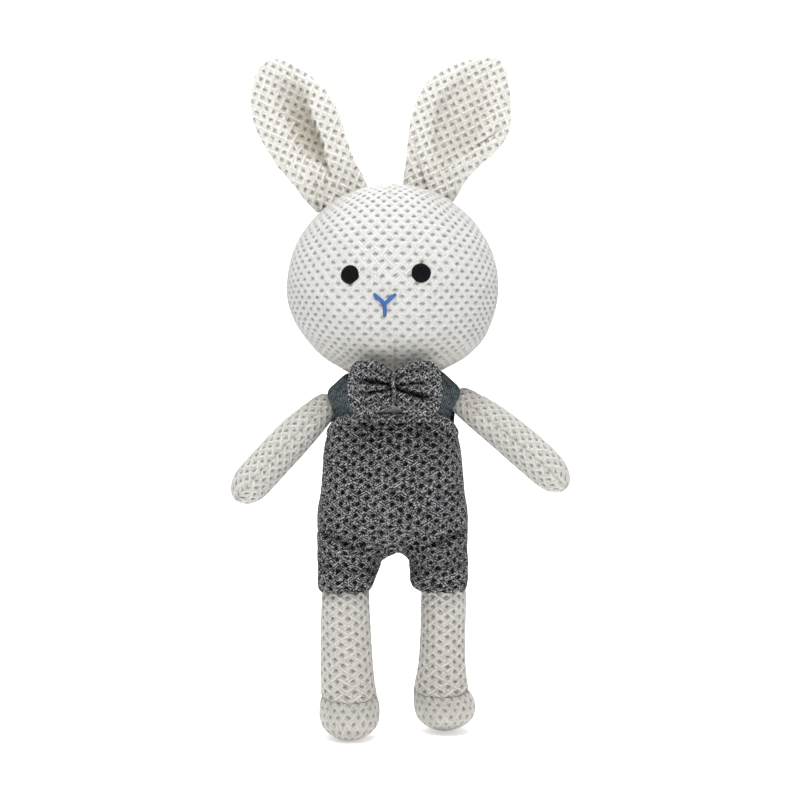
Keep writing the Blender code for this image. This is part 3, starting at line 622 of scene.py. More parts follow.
def romper_half(side, columns=200):
    """v runs from -1 at the centre front to 1 at the centre back. In the trunk a point is
    (wide · cos 90v, deep · sin 90v). m from 0 to 1 draws the ends in: the cosine's power grows to
    2 and the sine becomes sin 180v, which closes the row round one leg."""
    trunk, under, leg = romper_rows()
    v = np.linspace(-1, 1, columns)
    quarter, whole = v * np.pi / 2, v * np.pi
    sine, cosine = np.sin(quarter), np.maximum(np.cos(quarter), 0)

    top = 160.8 - 8.0 * np.cos(quarter) ** 7 - 3.0 * step(v, 0.2, 1)
    z = top[None] + (HIP - top[None]) * trunk[:, None]
    wide, deep = np.moveaxis(curve_through(TRUNK, z), -1, 0)
    upper = np.stack([side * wide * cosine ** (2 / FULL), deep * squarer(sine, FULL), z], -1)

    m = under[:, None] ** 0.9
    wide, deep = curve_through(TRUNK, np.array([HIP]))[0]
    _, leg_x, leg_y, leg_wide, leg_deep = TROUSER[side][-1]
    x = (wide + (leg_wide * 2 - wide) * m) * cosine ** ((1 - m) * 2 / FULL + m * 2)
    y = (1 - m) * deep * squarer(sine, FULL) + m * leg_deep * np.sin(whole)
    drop = HIP - (HIP - CROTCH) * np.sqrt(np.clip(1 - (1 - m) ** 2, 0, 1))
    z = (HIP + (LEG_TOP - HIP) * m) + (drop - HIP - (LEG_TOP - HIP) * m) * np.abs(v) ** 2.5
    middle = np.stack([side * x, y, z + 0 * x], -1)

    share = np.clip(leg / 0.86, 0, 1)[:, None]
    start = LEG_TOP + (CROTCH - LEG_TOP) * np.abs(v) ** 2.5
    level = start[None] + (HEM - start[None]) * share
    blend = step(share, 0.0, 0.45)
    nominal = 94 + (HEM - 94) * share + 0 * v[None]
    cx, cy, half, deep = np.moveaxis(curve_through(TROUSER[side], nominal), -1, 0)
    power = 2 + 0.3 * blend
    x = cx + side * half * squarer(np.cos(whole)[None], power)
    y = cy + deep * squarer(np.sin(whole)[None], power)
    fold = np.clip((leg - 0.86) / 0.14, 0, 1)[:, None]  # the hem turns in and back up
    shrink = 1 - 0.12 * np.sin(fold * np.pi / 2)
    x, y = cx + (x - cx) * shrink, cy + (y - cy) * shrink
    lower = np.stack([x, y, level + 5.0 * fold ** 1.6], -1)
    return np.concatenate([upper, middle, lower]), v, len(trunk), len(under)


def romper_panel(side):
    """Half the garment with its cloth laid out from the centre front, folds and hollows."""
    points, v, trunk, under = romper_half(side)
    across = walked(points, axis=1)
    # Below the hips the cloth is measured from the side, so that it hangs straight there.
    hip = np.arange(len(points)) >= trunk
    outer = across[trunk, len(v) // 2] - across[:, len(v) // 2]
    across = across + np.where(hip, outer, 0)[:, None]
    # Going down the cloth, a step sideways or forwards counts for less than one downwards.
    down = walked(points * (0.4, 0.22, 1)) + (160.5 - points[:1, :, 2])
    cloth = np.stack([side * across, -down], -1)
    cloth = cloth + 0.9 * drift(side * across, down, 21, 34)
    cloth = cloth + np.stack([0.10 * down, 0 * down], -1)

    below = np.arange(len(points)) >= trunk + under - 1  # rows that close round the leg
    normal = normals_of(points)
    if (normal[10, len(v) // 2, 0] > 0) != (side > 0):
        normal = -normal
    centre = (np.abs(v) > 0.9999)[None] & ~below[:, None]
    normal = np.where(centre[..., None], normal * (0, 1, 1), normal)
    normal = unit(normal, 1e-9)
    row = np.arange(len(points))[:, None]
    from_crotch = step(row, trunk + under - 24, trunk + under - 4)
    edge = (1 - np.abs(v))[None] * 45
    inseam = step(edge, 0.3, 2.4) * from_crotch + (1 - from_crotch)
    back_seam = 1 - step(v, 0.97, 0.995)[None] * (1 - from_crotch)
    # The crotch sits a little to the right of the middle.
    shift = 2.7 * np.exp(-(points[..., 0] / 10) ** 2) * step(106 - points[..., 2], 0, 13)
    points[..., 0] += shift * (1 - step(row, trunk + under, trunk + under + 12))
    x, y, z = points[..., 0], points[..., 1], points[..., 2]
    # Soft creases where the thighs leave the belly, and one across the top of each leg.
    crease = 1.7 * np.exp(-((z - 94.5 - 0.33 * (np.abs(x) - 14)) / 1.7) ** 2)
    crease = crease * step(np.abs(x), 8, 16) * step(46 - np.abs(x), 0, 10) * step(-y, 2, 12)
    sagging = 1.2 * np.exp(-((z - 84 - 0.12 * (np.abs(x) - 24)) / 2.2) ** 2) * step(-y, 0, 10)
    belly = 0.9 * wander(x, z, 24, 46) * step(-y, -4, 14)
    fullness = np.where(row >= len(points) - 8, 0, 1)
    lump = (belly - crease - 0.6 * sagging) * fullness * inseam
    points = points + normal * lump[..., None]
    points = knitted(points, cloth, "romper", inseam * back_seam, normal, 0.25, 25)
    groove = 0.8 * np.exp(-(edge / 1.2) ** 2) * from_crotch
    points = points - normal * (groove * fullness)[..., None]
    # Painted shade: darker in the creases, the sag and the inseam's groove, along the top under the rolled
    # edge, and low in front between the legs.
    dark = 0.35 * crease + 0.3 * sagging + 0.5 * groove + 0.35 * step(z, 155.5, 158.5)
    dark = dark + 0.3 * step(100 - z, 0, 8) * step(14 - np.abs(x), 0, 10) * step(-y, -5, 8)
    return points, cloth, dark


romper = {}
for name, side in (("left", -1), ("right", 1)):
    panel = romper_panel(side)
    across, along = np.diff(panel[0], axis=1)[:-1], np.diff(panel[0], axis=0)[:, :-1]
    if (np.cross(across, along)[..., 0] * side).sum() < 0:
        panel = [grid[:, ::-1] for grid in panel]
    romper[name] = sew(f"romper_{name}", [panel])

# %% [markdown]
# ### The rolled edges of the bib
#
# The top of the bib is turned over and stitched down, so it reads as a soft roll of the same
# yarn. A roll is a profile carried along a path: here a flattened circle carried along the top
# row of the romper, with a little unevenness along the way.


# %% Rolls along a path
def roll_along(path, radius, tall, seed, sides=26, closed=False):
    """A flattened circle, radius by tall, carried along a path of points. Both ends are drawn in
    to a point, unless the path is closed."""
    tangent = np.gradient(path, axis=0)
    if closed:
        tangent[0] = tangent[-1] = path[1] - path[-2]
    tangent = unit(tangent)
    up = unit(np.array([0, 0, 1.0]) - tangent * tangent[:, 2:])
    out = np.cross(tangent, up)
    length = walked(path)
    turn, far = np.meshgrid(np.linspace(0, 2 * np.pi, sides), length)
    bump = 1 + 0.10 * wander(far, turn * 2, seed, 9) + 0.05 * wander(far, turn * 2, seed + 1, 4)
    if not closed:
        ends = np.minimum(far, length[-1] - far)
        bump = bump * np.sqrt(np.clip(ends / radius, 0, 1))
    points = (path[:, None] + out[:, None] * (radius * bump * np.cos(turn))[..., None]
              + up[:, None] * (tall * bump * np.sin(turn))[..., None])
    cloth = np.stack([far, turn * (radius + tall) / 2], -1)
    return facing_out(points, cloth, path[:-1, None])


def bib_edge():
    """The romper's top line, from the centre back round one side, the front and the other."""
    halves = []
    for side in (-1, 1):
        halves.append(romper_half(side)[0][0] + (0, 0, -0.6))
    line = np.concatenate([halves[0][::-1], halves[1][1:]])
    outwards = line * (1, 1, 0) / np.linalg.norm(line[:, :2], axis=1)[:, None]
    return line + outwards * (0.5 - 1.4 * np.abs(outwards[:, :1]) ** 4)


bib_roll = sew("bib_roll", [roll_along(bib_edge(), 1.5, 2.6, 31, closed=True)], "torso")

# %% [markdown]
# ## Straps
#
# Two bands of felted cloth go from the bib over the shoulders to the back. A strap is a flat
# profile carried along a curve through a few points, with a thin edge all round.


# %% Straps over the shoulders
def smooth_path(stations, count):
    """A smooth curve through a few points, evenly spaced by their distance apart."""
    stations = np.array(stations, float)
    far = walked(stations)
    return curve_through(np.column_stack([far, stations]), np.linspace(0, far[-1], count))


def strap_panels(side):
    """Outer and inner face of a band 10.4 mm wide and 1.6 mm thick, rounded at its edges."""
    path = smooth_path([(23.6, -16.0, 154.0), (24.6, -18.0, 161.5), (26.8, -20.4, 169.5),
                        (28.6, -18.0, 177.4), (29.0, -10.5, 182.2), (29.0, 0, 183.8),
                        (28.8, 9.5, 182.2), (28.4, 17.6, 177.0), (27.4, 21.4, 168.0),
                        (26.4, 22.4, 153.0)], 120)
    if side < 0:  # this shoulder slopes more
        path = path - np.array([1.2, 0, 1.4]) * step(path[:, 2:], 160, 180)
    tangent = unit(np.gradient(path, axis=0))
    turn = np.linspace(0, 2 * np.pi, 48)
    across, thick = 5.2 * np.sign(np.cos(turn)) * np.abs(np.cos(turn)) ** 0.35, 0.8 * np.sin(turn)
    droop = 9.0 * ((across + 5.2) / 10.4) ** 1.15  # the outer edge follows the shoulder down
    outward = np.stack([0 * path[:, 0], path[:, 1] / 20, (path[:, 2] - 160) / 24], 1)
    outward = unit(outward - tangent * (outward * tangent).sum(1, keepdims=True))
    edge = np.stack([across + 0 * turn, 0 * turn, 0 * turn], -1)
    points = path[:, None] + edge[None] + outward[:, None] * thick[None, :, None]
    slack = 1.35 - 0.35 * np.abs(outward[:, 2:])  # and turns in towards the chest below it
    points = points - (outward * slack)[:, None] * droop[None, :, None]
    points[..., 0] *= side
    far = np.linspace(0, 75, 120)
    cloth = np.stack(np.broadcast_arrays(across, far[:, None]), -1)
    points, cloth = facing_out(points, cloth, (path * (side, 1, 1))[:-1, None])
    points = points + normals_of(points) * (0.12 * wander(points[..., 0] * 3, far[:, None]
                                                          + points[..., 1], 33, 14))[..., None]
    points[:, -1] = points[:, 0]
    return points, cloth


straps = {name: sew(f"felt_strap_{name}", [strap_panels(side)], "torso")
          for name, side in (("left", -1), ("right", 1))}

# %% [markdown]
# ## The bow tie
#
# A bow is a padded rectangle pinched in the middle, so folds run out from the pinch and fade
# towards the ends. Each lobe is a front and a back panel. Their depth is a rounded pillow, minus
# a few valleys that fan out from the pinch.

# %% A lobe of the bow
BOW = np.array([0.6, -35.4, 175.0])
LOBES = {  # reach, top and bottom of the outer end, and its valleys: slope, place, depth, width
    "left": {"side": -1, "reach": 22.6, "top": 13.6, "low": 13.2, "seed": 41,
             "valleys": ((0.16, 0.22, 3.6, 0.12), (-0.16, -0.16, 2.8, 0.09),
                         (-0.30, -0.55, 1.6, 0.12), (0.30, 0.62, 1.3, 0.10))},
    "right": {"side": 1, "reach": 24.2, "top": 13.4, "low": 14.2, "seed": 43,
              "valleys": ((0.10, 0.16, 2.4, 0.10), (-0.42, -0.24, 3.8, 0.12),
                          (0.34, 0.62, 1.6, 0.11), (-0.20, -0.62, 1.2, 0.10))},
}


def lobe_panel(lobe, face, rows=150, columns=150):
    """u runs out from the pinch and w from the bottom edge to the top. Half the height grows as
    0.60 + 0.40 · sin(1.05 pi u) to its full size, rounded off at the end, and the thickness grows
    to 6.4 · (1 - w^4)^0.6, less the valleys."""
    w, u = np.meshgrid(np.sin(np.linspace(-1, 1, columns) * np.pi / 2),
                       np.sin(np.linspace(0, 1, rows) * np.pi / 2) ** 1.2)
    grow = 0.60 + 0.40 * np.sin(np.clip(u * 2.1, 0, 1) * np.pi / 2)
    end = np.clip((u - 0.62) / 0.38, 0, 1)
    grow = grow * np.sqrt(np.clip(1 - end ** 3.2, 0, 1))
    x = lobe["side"] * (0.15 + lobe["reach"] * u)
    z = w * np.where(w > 0, lobe["top"], lobe["low"]) * grow
    body = (1 - np.abs(w) ** 4) ** 0.6 * np.sqrt(np.clip(1 - end ** 2.6, 0, 1))
    thick = 6.4 * body * (0.50 + 0.50 * np.sin(np.clip(u * 2.0, 0, 1) * np.pi / 2))
    valley = 0
    for slope, place, depth, width in lobe["valleys"]:
        line = place + slope * (u - 0.45)
        wide = width * (0.7 + 0.6 * u)
        valley = valley + depth * np.exp(-((w - line) / wide) ** 2) * step(0.97 - u, 0, 0.5)
    plump = 1.1 * wander(x, z, lobe["seed"], 11) + 0.6 * wander(x, z, lobe["seed"] + 1, 5)
    cloth = np.stack([x * 1.04 + 40, z * 1.06 + (0 if face < 0 else 50)], -1)
    cloth = cloth + 0.6 * drift(x, z, 47, 9)
    knit = hollows(cloth, *KNITS["bow"][:4]) * KNITS["bow"][4]
    relief = plump - knit - valley * (1 if face < 0 else 0.5)
    out = thick + relief * np.minimum(thick / 2.5, 1)
    points = BOW + np.stack([x, face * np.maximum(out, 0) + 0.06 * np.abs(x), z], -1)
    # Painted shade: darker in the valleys, at the pinch, and where the cloth sinks in.
    dark = valley / 3.0 + 0.7 * step(0.14 - u, 0, 0.12) + 0.25 * step(-out, -1.5, 0)
    points, both = facing_out(points, np.dstack([cloth, dark]),
                              BOW + np.array([lobe["side"] * 11.0, 0, 0]))
    return points, both[..., :2], both[..., 2]


bow = {name: sew(f"bow_{name}", [lobe_panel(lobe, -1), lobe_panel(lobe, 1)], "torso")
       for name, lobe in LOBES.items()}


# %% Thread round the pinch
def coil_panel(turns=4, sides=10, steps=240):
    """A yarn wound round the pinch of the bow: a circle carried along a flat spiral."""
    far = np.linspace(0, turns * 2 * np.pi, steps)
    path = BOW + np.stack([-0.9 + 0.45 * far / np.pi / turns * 2, -3.6 * np.cos(far),
                           7.9 * np.sin(far)], -1)
    return roll_along(path, 0.42, 0.42, 51, sides)


def tack_panel():
    """One short pale stitch that shows over the yarn, bowed outwards."""
    u = np.linspace(0, 1, 24)
    path = BOW + np.stack([-0.35 + 0.5 * u, -3.4 - 1.1 * np.sin(np.pi * u), 0.6 + 2.9 * u], -1)
    return roll_along(path, 0.2, 0.2, 53, 10)


bow_thread = sew("pinch_yarn", [coil_panel()], "torso")
bow_tack = sew("pinch_stitch", [tack_panel()], "torso")

# %% [markdown]
# ## Eyes and nose
#
# The eyes are discs of black satin stitch, worked over each other until they stand proud of the
# knit, and the nose is three straight stitches of blue thread in a Y. Both are laid on the
# head's own formula, so they sit on the face wherever they are placed.


# %% The face
def face_depth(x, z):
    """y of the face under (x, z): the egg's own equation, solved for y."""
    tall = np.where(z > HEAD["middle"], HEAD["up"], HEAD["down"])
    rest = 1 - (x / HEAD["wide"]) ** 2 - ((z - HEAD["middle"]) / tall) ** 2
    return -HEAD["deep"] * np.sqrt(np.clip(rest, 0, 1))


def eye_panel(x, z, half, tilt, stretch):
    """A low dome: share r of the radius stands 1.9 · (1 - r^6)^0.5 - 0.9 mm proud, with a ragged
    edge where the stitches turn."""
    r, turn = np.meshgrid(np.linspace(1, 0, 40), np.linspace(0, 2 * np.pi, 160), indexing="ij")
    ragged = 1 + 0.022 * np.sin(turn * 23) * r ** 8 + 0.02 * wander(np.cos(turn), np.sin(turn),
                                                                    61, 1.1) * r
    a, b = half * stretch * r * ragged * np.cos(turn), half * r * ragged * np.sin(turn)
    px = x + a * math.cos(tilt) - b * math.sin(tilt)
    pz = z + a * math.sin(tilt) + b * math.cos(tilt)
    proud = 1.9 * np.sqrt(np.clip(1 - r ** 6, 0, 1)) - 0.9
    proud = proud + 0.07 * np.sin((a + 0.2 * b) * 2 * np.pi / 0.62) * (1 - r ** 6)
    points = np.stack([px, face_depth(px, pz) - proud, pz], -1)
    return facing_out(points, np.stack([a, b], -1), np.array([x, 0, z]))


eyes = {"left": sew("satin_eye_left", [eye_panel(-20.7, 230.4, 4.95, -0.5, 0.93)], "head"),
        "right": sew("satin_eye_right", [eye_panel(14.1, 230.9, 4.95, 0.0, 1.0)], "head")}


def stitch_panel(start, end, thick=0.98, sides=40, steps=60):
    """A flat bundle of threads from start to end: radius thick · sin(pi u)^0.22, with five
    strands that twist a third of a turn along it."""
    u = np.linspace(0, 1, steps)
    x = start[0] + (end[0] - start[0]) * u
    z = start[1] + (end[1] - start[1]) * u
    arch = np.sin(np.pi * u) ** 0.5
    path = np.stack([x, face_depth(x, z) + 0.55 - 1.05 * arch, z], -1)
    run = unit(np.array([end[0] - start[0], 0, end[1] - start[1]]))
    over = np.array([run[2], 0, -run[0]])
    turn, far = np.meshgrid(np.linspace(0, 2 * np.pi, sides), u)
    radius = thick * np.sin(np.pi * np.clip(far, 0.002, 0.998)) ** 0.22
    radius = radius * (1 + 0.13 * np.abs(np.sin(2.5 * turn + 5.0 * far)) - 0.06)
    radius = radius * np.where((far <= 0) | (far >= 1), 0, 1)
    points = (path[:, None] + over * (radius * np.cos(turn))[..., None]
              + np.array([0, -1.0, 0]) * (0.8 * radius * np.sin(turn))[..., None])
    cloth = np.stack([turn * thick, far * 8], -1)
    return facing_out(points, cloth, path[:-1, None])


FORK = (-3.7, 215.6)
nose = sew("nose", [stitch_panel((-9.2, 220.9), (FORK[0] + 0.5, FORK[1] - 0.3)),
                    stitch_panel((2.0, 220.7), (FORK[0] - 0.5, FORK[1] - 0.3)),
                    stitch_panel((FORK[0], FORK[1] + 1.2), (FORK[0] + 0.1, 209.6))], "head")

# %% [markdown]
# ## What moves with what
#
# Most pieces ride whole on one body. Two kinds of cloth cross a joint: each ear at its base,
# and each half of the romper at the hip. Here they ride on no body: their places are baked into
# their meshes. The plain model's own parts are then hidden.

# %% Baked places, and hidden parts
for side, ear in EARS.items():
    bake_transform(ears[side])
for side, sign in (("left", -1), ("right", 1)):
    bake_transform(romper[side])

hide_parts("head_front_panel", "head_fill")
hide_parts("head_back_panel")
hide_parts("torso_front_panel", "torso_back_panel", "torso_fill", "neck_fill")
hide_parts("bib_hem")
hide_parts("bow_tie")
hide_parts("bow_tack")
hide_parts("bow_thread")
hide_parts("nose_stitch")
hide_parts("romper_front_panel", "romper_leg_left")
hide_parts("romper_back_panel", "romper_leg_right")
for side in ("left", "right"):
    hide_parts(f"ear_{side}_front_panel", f"ear_{side}_back_panel",
                f"ear_{side}_wadding")
    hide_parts(f"arm_{side}_upper_panel", f"arm_{side}_under_panel",
                f"arm_{side}_fill", f"arm_{side}_shoulder_wad")
    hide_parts(f"leg_{side}_skin", f"leg_{side}_fill")
    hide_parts(f"foot_{side}_upper", f"foot_{side}_sole")
    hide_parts(f"strap_{side}")
    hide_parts(f"eye_{side}")

for fill, pieces in ((0.9, [head_face, head_back]), (0.8, [torso]), (0.3, ears.values()),
                     (0.8, [*arms.values(), *legs.values(), *feet.values()]),
                     (0.5, bow.values())):
    print(f"filled to {fill}:", ", ".join(piece.name for piece in pieces))

# %% [markdown]
# ## Yarn as a node group
#
# The mesh has the hollows. The strands between them, their plies, and the fleck of the yarn are
# finer than the mesh, so the material draws them from the same flat cloth coordinates. The group
# below gives three things that change over the surface: how deep in a hollow a point is, the
# height of the strand under it, and a fleck that runs along the strand. The two families of
# strands pass over and under each other in turn.


# %% Small helpers for nodes
class Nodes:
    """A node tree with short ways to add maths, noise and links."""

    def __init__(self, tree):
        self.tree = tree

    def add(self, kind, **settings):
        node = self.tree.nodes.new(kind)
        for key, value in settings.items():
            setattr(node, key, value)
        return node

    def plug(self, value, socket):
        if isinstance(value, bpy.types.NodeSocket):
            self.tree.links.new(value, socket)
        else:
            socket.default_value = value

    def math(self, operation, *values, clamp=False):
        node = self.add("ShaderNodeMath", operation=operation, use_clamp=clamp)
        for value, socket in zip(values, node.inputs):
            self.plug(value, socket)
        return node.outputs[0]

    def ramp(self, value, low, high):
        """0 below low and 1 above high, smoothly."""
        node = self.add("ShaderNodeMapRange", interpolation_type="SMOOTHSTEP")
        for key, v in (("Value", value), ("From Min", low), ("From Max", high)):
            self.plug(v, node.inputs[key])
        return node.outputs["Result"]

    def times(self, a, b):
        return self.math("MULTIPLY", a, b)

    def plus(self, a, b):
        return self.math("ADD", a, b)

    def minus(self, a, b):
        return self.math("SUBTRACT", a, b)

    def sway(self, value, much, onto, middle=0.5):
        """onto, raised where the value is above its middle and lowered where it is below."""
        return self.math("MULTIPLY_ADD", self.minus(value, middle), much, onto)

    def mix(self, share, a, b, kind="RGBA", **settings):
        """Two colours, or with kind VALUE two numbers, mixed by a share."""
        data_type = {"RGBA": "RGBA", "VALUE": "FLOAT"}[kind]
        node = self.add("ShaderNodeMix", data_type=data_type, clamp_factor=True, **settings)
        self.plug(share, node.inputs["Factor"])
        for value, label in ((a, "A"), (b, "B")):
            self.plug(value, next(s for s in node.inputs if (s.name, s.type) == (label, kind)))
        return next(s for s in node.outputs if s.type == kind)

    def noise(self, vector, scale, detail=2.0, rough=0.5):
        node = self.add("ShaderNodeTexNoise")
        self.plug(vector, node.inputs["Vector"])
        for key, v in (("Scale", scale), ("Detail", detail), ("Roughness", rough)):
            node.inputs[key].default_value = v
        return node.outputs["Fac"]

    def vector(self, x, y, z=0.0):
        node = self.add("ShaderNodeCombineXYZ")
        for value, socket in zip((x, y, z), node.inputs):
            self.plug(value, socket)
        return node.outputs[0]


def new_group(name, inputs, outputs):
    """An empty shader group with the named sockets: (kind, name, default)."""
    tree = bpy.data.node_groups.new(name, "ShaderNodeTree")
    for direction, sockets in (("INPUT", inputs), ("OUTPUT", outputs)):
        for kind, label, default in sockets:
            socket = tree.interface.new_socket(label, in_out=direction,
                                               socket_type=f"NodeSocket{kind}")
            if default is not None:
                socket.default_value = default
    n = Nodes(tree)
    return n, n.add("NodeGroupInput").outputs, n.add("NodeGroupOutput").inputs


# %% The yarn group
def build_yarn_group():
    """Hollow, strand height and fleck from cloth coordinates in millimetres."""
    n, given, out = new_group(
        "knitted yarn",
        [("Vector", "Cloth", None), ("Float", "Pitch", 6.5), ("Float", "Rise", 3.85),
         ("Float", "Narrow", 1.5), ("Float", "Less Wide", 0.0), ("Float", "Less Tall", 0.0),
         ("Float", "Plies", 4.0)],
        [("Float", "Hollow", None), ("Float", "Strand", None), ("Float", "Fleck", None),
         ("Float", "Edge", None)])
    split = n.add("ShaderNodeSeparateXYZ")
    n.plug(given["Cloth"], split.inputs[0])
    across = n.math("DIVIDE", split.outputs[0], given["Pitch"])
    upward = n.math("DIVIDE", split.outputs[1], n.times(given["Rise"], 2.0))
    a, b = n.plus(across, upward), n.minus(across, upward)
    near = []
    for line in (a, b):
        cosine = n.math("COSINE", n.times(line, 2 * math.pi))
        near.append(n.math("MULTIPLY_ADD", cosine, 0.5, 0.5))  # 1 in line with the hollows
    hollow = n.math("POWER", n.times(*near), given["Narrow"])
    for line, trim in ((across, "Less Wide"), (upward, "Less Tall")):
        cosine = n.math("COSINE", n.times(line, 4 * math.pi))
        less = n.math("MULTIPLY_ADD", cosine, 0.5, 0.5)
        hollow = n.times(hollow, n.math("POWER", less, given[trim]))
    n.plug(hollow, out["Hollow"])

    # Which family of strands is on top here: the nearer one, and turn about at a crossing.
    turn = n.math("COSINE", n.times(across, 2 * math.pi))
    choose = n.plus(n.minus(near[1], near[0]), n.times(turn, 0.45))
    on_a = n.ramp(choose, -0.12, 0.12)
    heights, flecks = [], []
    for line, other, seed in ((a, b, 0.0), (b, a, 7.3)):
        wave = n.plus(n.times(line, given["Plies"]),
                      n.times(n.noise(n.vector(line, other, seed), 3.0), 0.55))
        ply = n.math("ABSOLUTE", n.math("SINE", n.times(wave, math.pi)))
        twist = n.plus(wave, n.times(other, 5.0))
        twist = n.math("SINE", n.times(twist, 2 * math.pi))
        heights.append(n.math("MULTIPLY_ADD", twist, 0.16, ply))
        stretched = n.vector(n.times(line, 8.5), n.times(other, 3.0), seed)
        flecks.append(n.noise(stretched, 1.0, 3.0, 0.65))
    n.plug(n.mix(on_a, heights[1], heights[0], "VALUE"), out["Strand"])
    n.plug(n.mix(on_a, flecks[1], flecks[0], "VALUE"), out["Fleck"])
    edge = n.math("ABSOLUTE", n.minus(on_a, 0.5))
    n.plug(n.minus(1.0, n.times(edge, 2.0)), out["Edge"])
    return n.tree


yarn_group = build_yarn_group()
print("yarn group:", len(yarn_group.nodes), "nodes")


# %% Knitted materials
def material(name, roughness, **constants):
    """A material whose even values sit on the shader's own sockets."""
    made = bpy.data.materials.new(name)
    made.use_nodes = True
    n = Nodes(made.node_tree)
    shader = made.node_tree.nodes["Principled BSDF"]
    shader.inputs["Roughness"].default_value = roughness
    for key, value in constants.items():
        shader.inputs[key.replace("_", " ")].default_value = value
    cloth = n.add("ShaderNodeUVMap", uv_map="cloth").outputs[0]
    return made, n, shader, cloth


def bumped(n, shader, height, distance, strength=1.0):
    bump = n.add("ShaderNodeBump")
    bump.inputs["Strength"].default_value = strength
    bump.inputs["Distance"].default_value = distance
    n.plug(height, bump.inputs["Height"])
    n.plug(bump.outputs[0], shader.inputs["Normal"])


def with_painted_shade(n, colour, tint):
    """The colour, multiplied by a tint as far as the piece's shade attribute says: painted shade."""
    painted_shade = n.add("ShaderNodeAttribute", attribute_type="GEOMETRY", attribute_name="shade")
    return n.mix(painted_shade.outputs["Fac"], colour, tint, blend_type="MULTIPLY")


def yarn_of(n, cloth, kind, plies, below=0.0):
    """The yarn group for one kind of knit: its hollow, strand, fleck and edge. With below, a
    fifth output says where the same hollows would be if they were that much lower, in mm."""
    pitch, rise, narrow, trim, _ = KNITS[kind]
    places = [cloth]
    if below:
        lower = n.add("ShaderNodeVectorMath", operation="ADD")
        n.plug(cloth, lower.inputs[0])
        lower.inputs[1].default_value = (0, below, 0)
        places.append(lower.outputs[0])
    made = []
    for place in places:
        yarn = n.add("ShaderNodeGroup", node_tree=yarn_group)
        for key, value in (("Cloth", place), ("Pitch", pitch), ("Rise", rise), ("Narrow", narrow),
                           ("Less Wide", max(trim, 0)), ("Less Tall", max(-trim, 0)),
                           ("Plies", plies)):
            n.plug(value, yarn.inputs[key])
        made.append(yarn.outputs)
    return [made[0][key] for key in ("Hollow", "Strand", "Fleck", "Edge")] + [
        made[-1]["Hollow"]] * bool(below)


def white_knit(name, kind, plies, light, pit_shade, relief):
    """Cream yarn with a fine fleck, painted paler on the strands and darker between the plies, and
    with warm grey painted shade in the hollows. pit_shade is how dark the painted shade in the
    hollows is, and relief how much the strands stand out."""
    made, n, shader, cloth = material(name, 0.95, Sheen_Weight=0.2, Sheen_Roughness=0.5,
                                      Specular_IOR_Level=0.1)
    hollow, strand, fleck, edge, lower = yarn_of(n, cloth, kind, plies, 0.8)
    fuzz = n.noise(cloth, 1.15, 3.0, 0.75)
    grain = n.noise(cloth, 2.3, 2.0, 0.6)
    patch = n.noise(cloth, 0.12, 2.0, 0.5)
    # The darker colour serves both the random fleck and the painted shade between plies and round hollows.
    dark = tuple(c * k for c, k in zip(light, (0.46, 0.445, 0.41)))
    much = 0.4 + 0.6 * relief
    tone = n.sway(fleck, 1.5 * much, 0.03)
    tone = n.sway(fuzz, 1.3 * much, tone)
    tone = n.sway(grain, 1.1 * much, tone)
    tone = n.sway(patch, 0.4, tone)
    # Painted shade between the plies: darker where the strand is low.
    tone = n.math("MULTIPLY_ADD", n.minus(1.0, strand), 0.42 * relief, tone)
    colour = n.mix(n.math("MAXIMUM", tone, 0.0), (*light, 1), (*dark, 1))
    # Painted shade in each hollow: a few dark specks between stray fibres, and not one clean hole.
    ragged = n.sway(fuzz, 1.5, hollow)
    # The painted shade is darkest at the top of each hollow, under its upper lip, as with light from
    # above.
    crescent = n.math("MULTIPLY_ADD", n.ramp(lower, 0.2, 0.95), -0.7, 1.0)  # dark at the top
    speckled_pit_shade = n.times(n.times(n.ramp(ragged, 0.30, 0.85), crescent), pit_shade)
    colour = n.mix(speckled_pit_shade, colour, (0.185, 0.172, 0.138, 1))
    # Painted shade round each hollow as well.
    pit_rim_shade = n.times(n.ramp(ragged, 0.05, 0.75), 0.25)
    colour = n.mix(pit_rim_shade, colour, (*(c * 0.55 for c in dark), 1))
    # Painted shade from the shade attribute: in folds, hollows and under other parts.
    n.plug(with_painted_shade(n, colour, (0.72, 0.69, 0.61, 1)), shader.inputs["Base Color"])
    height = n.math("MULTIPLY_ADD", strand, 0.9, n.times(fuzz, 1.3))
    height = n.math("MULTIPLY_ADD", fleck, 0.7, height)
    height = n.minus(height, n.times(edge, 0.45))
    height = n.minus(height, n.times(hollow, 0.9))
    bumped(n, shader, height, 0.0010 * relief)
    return made


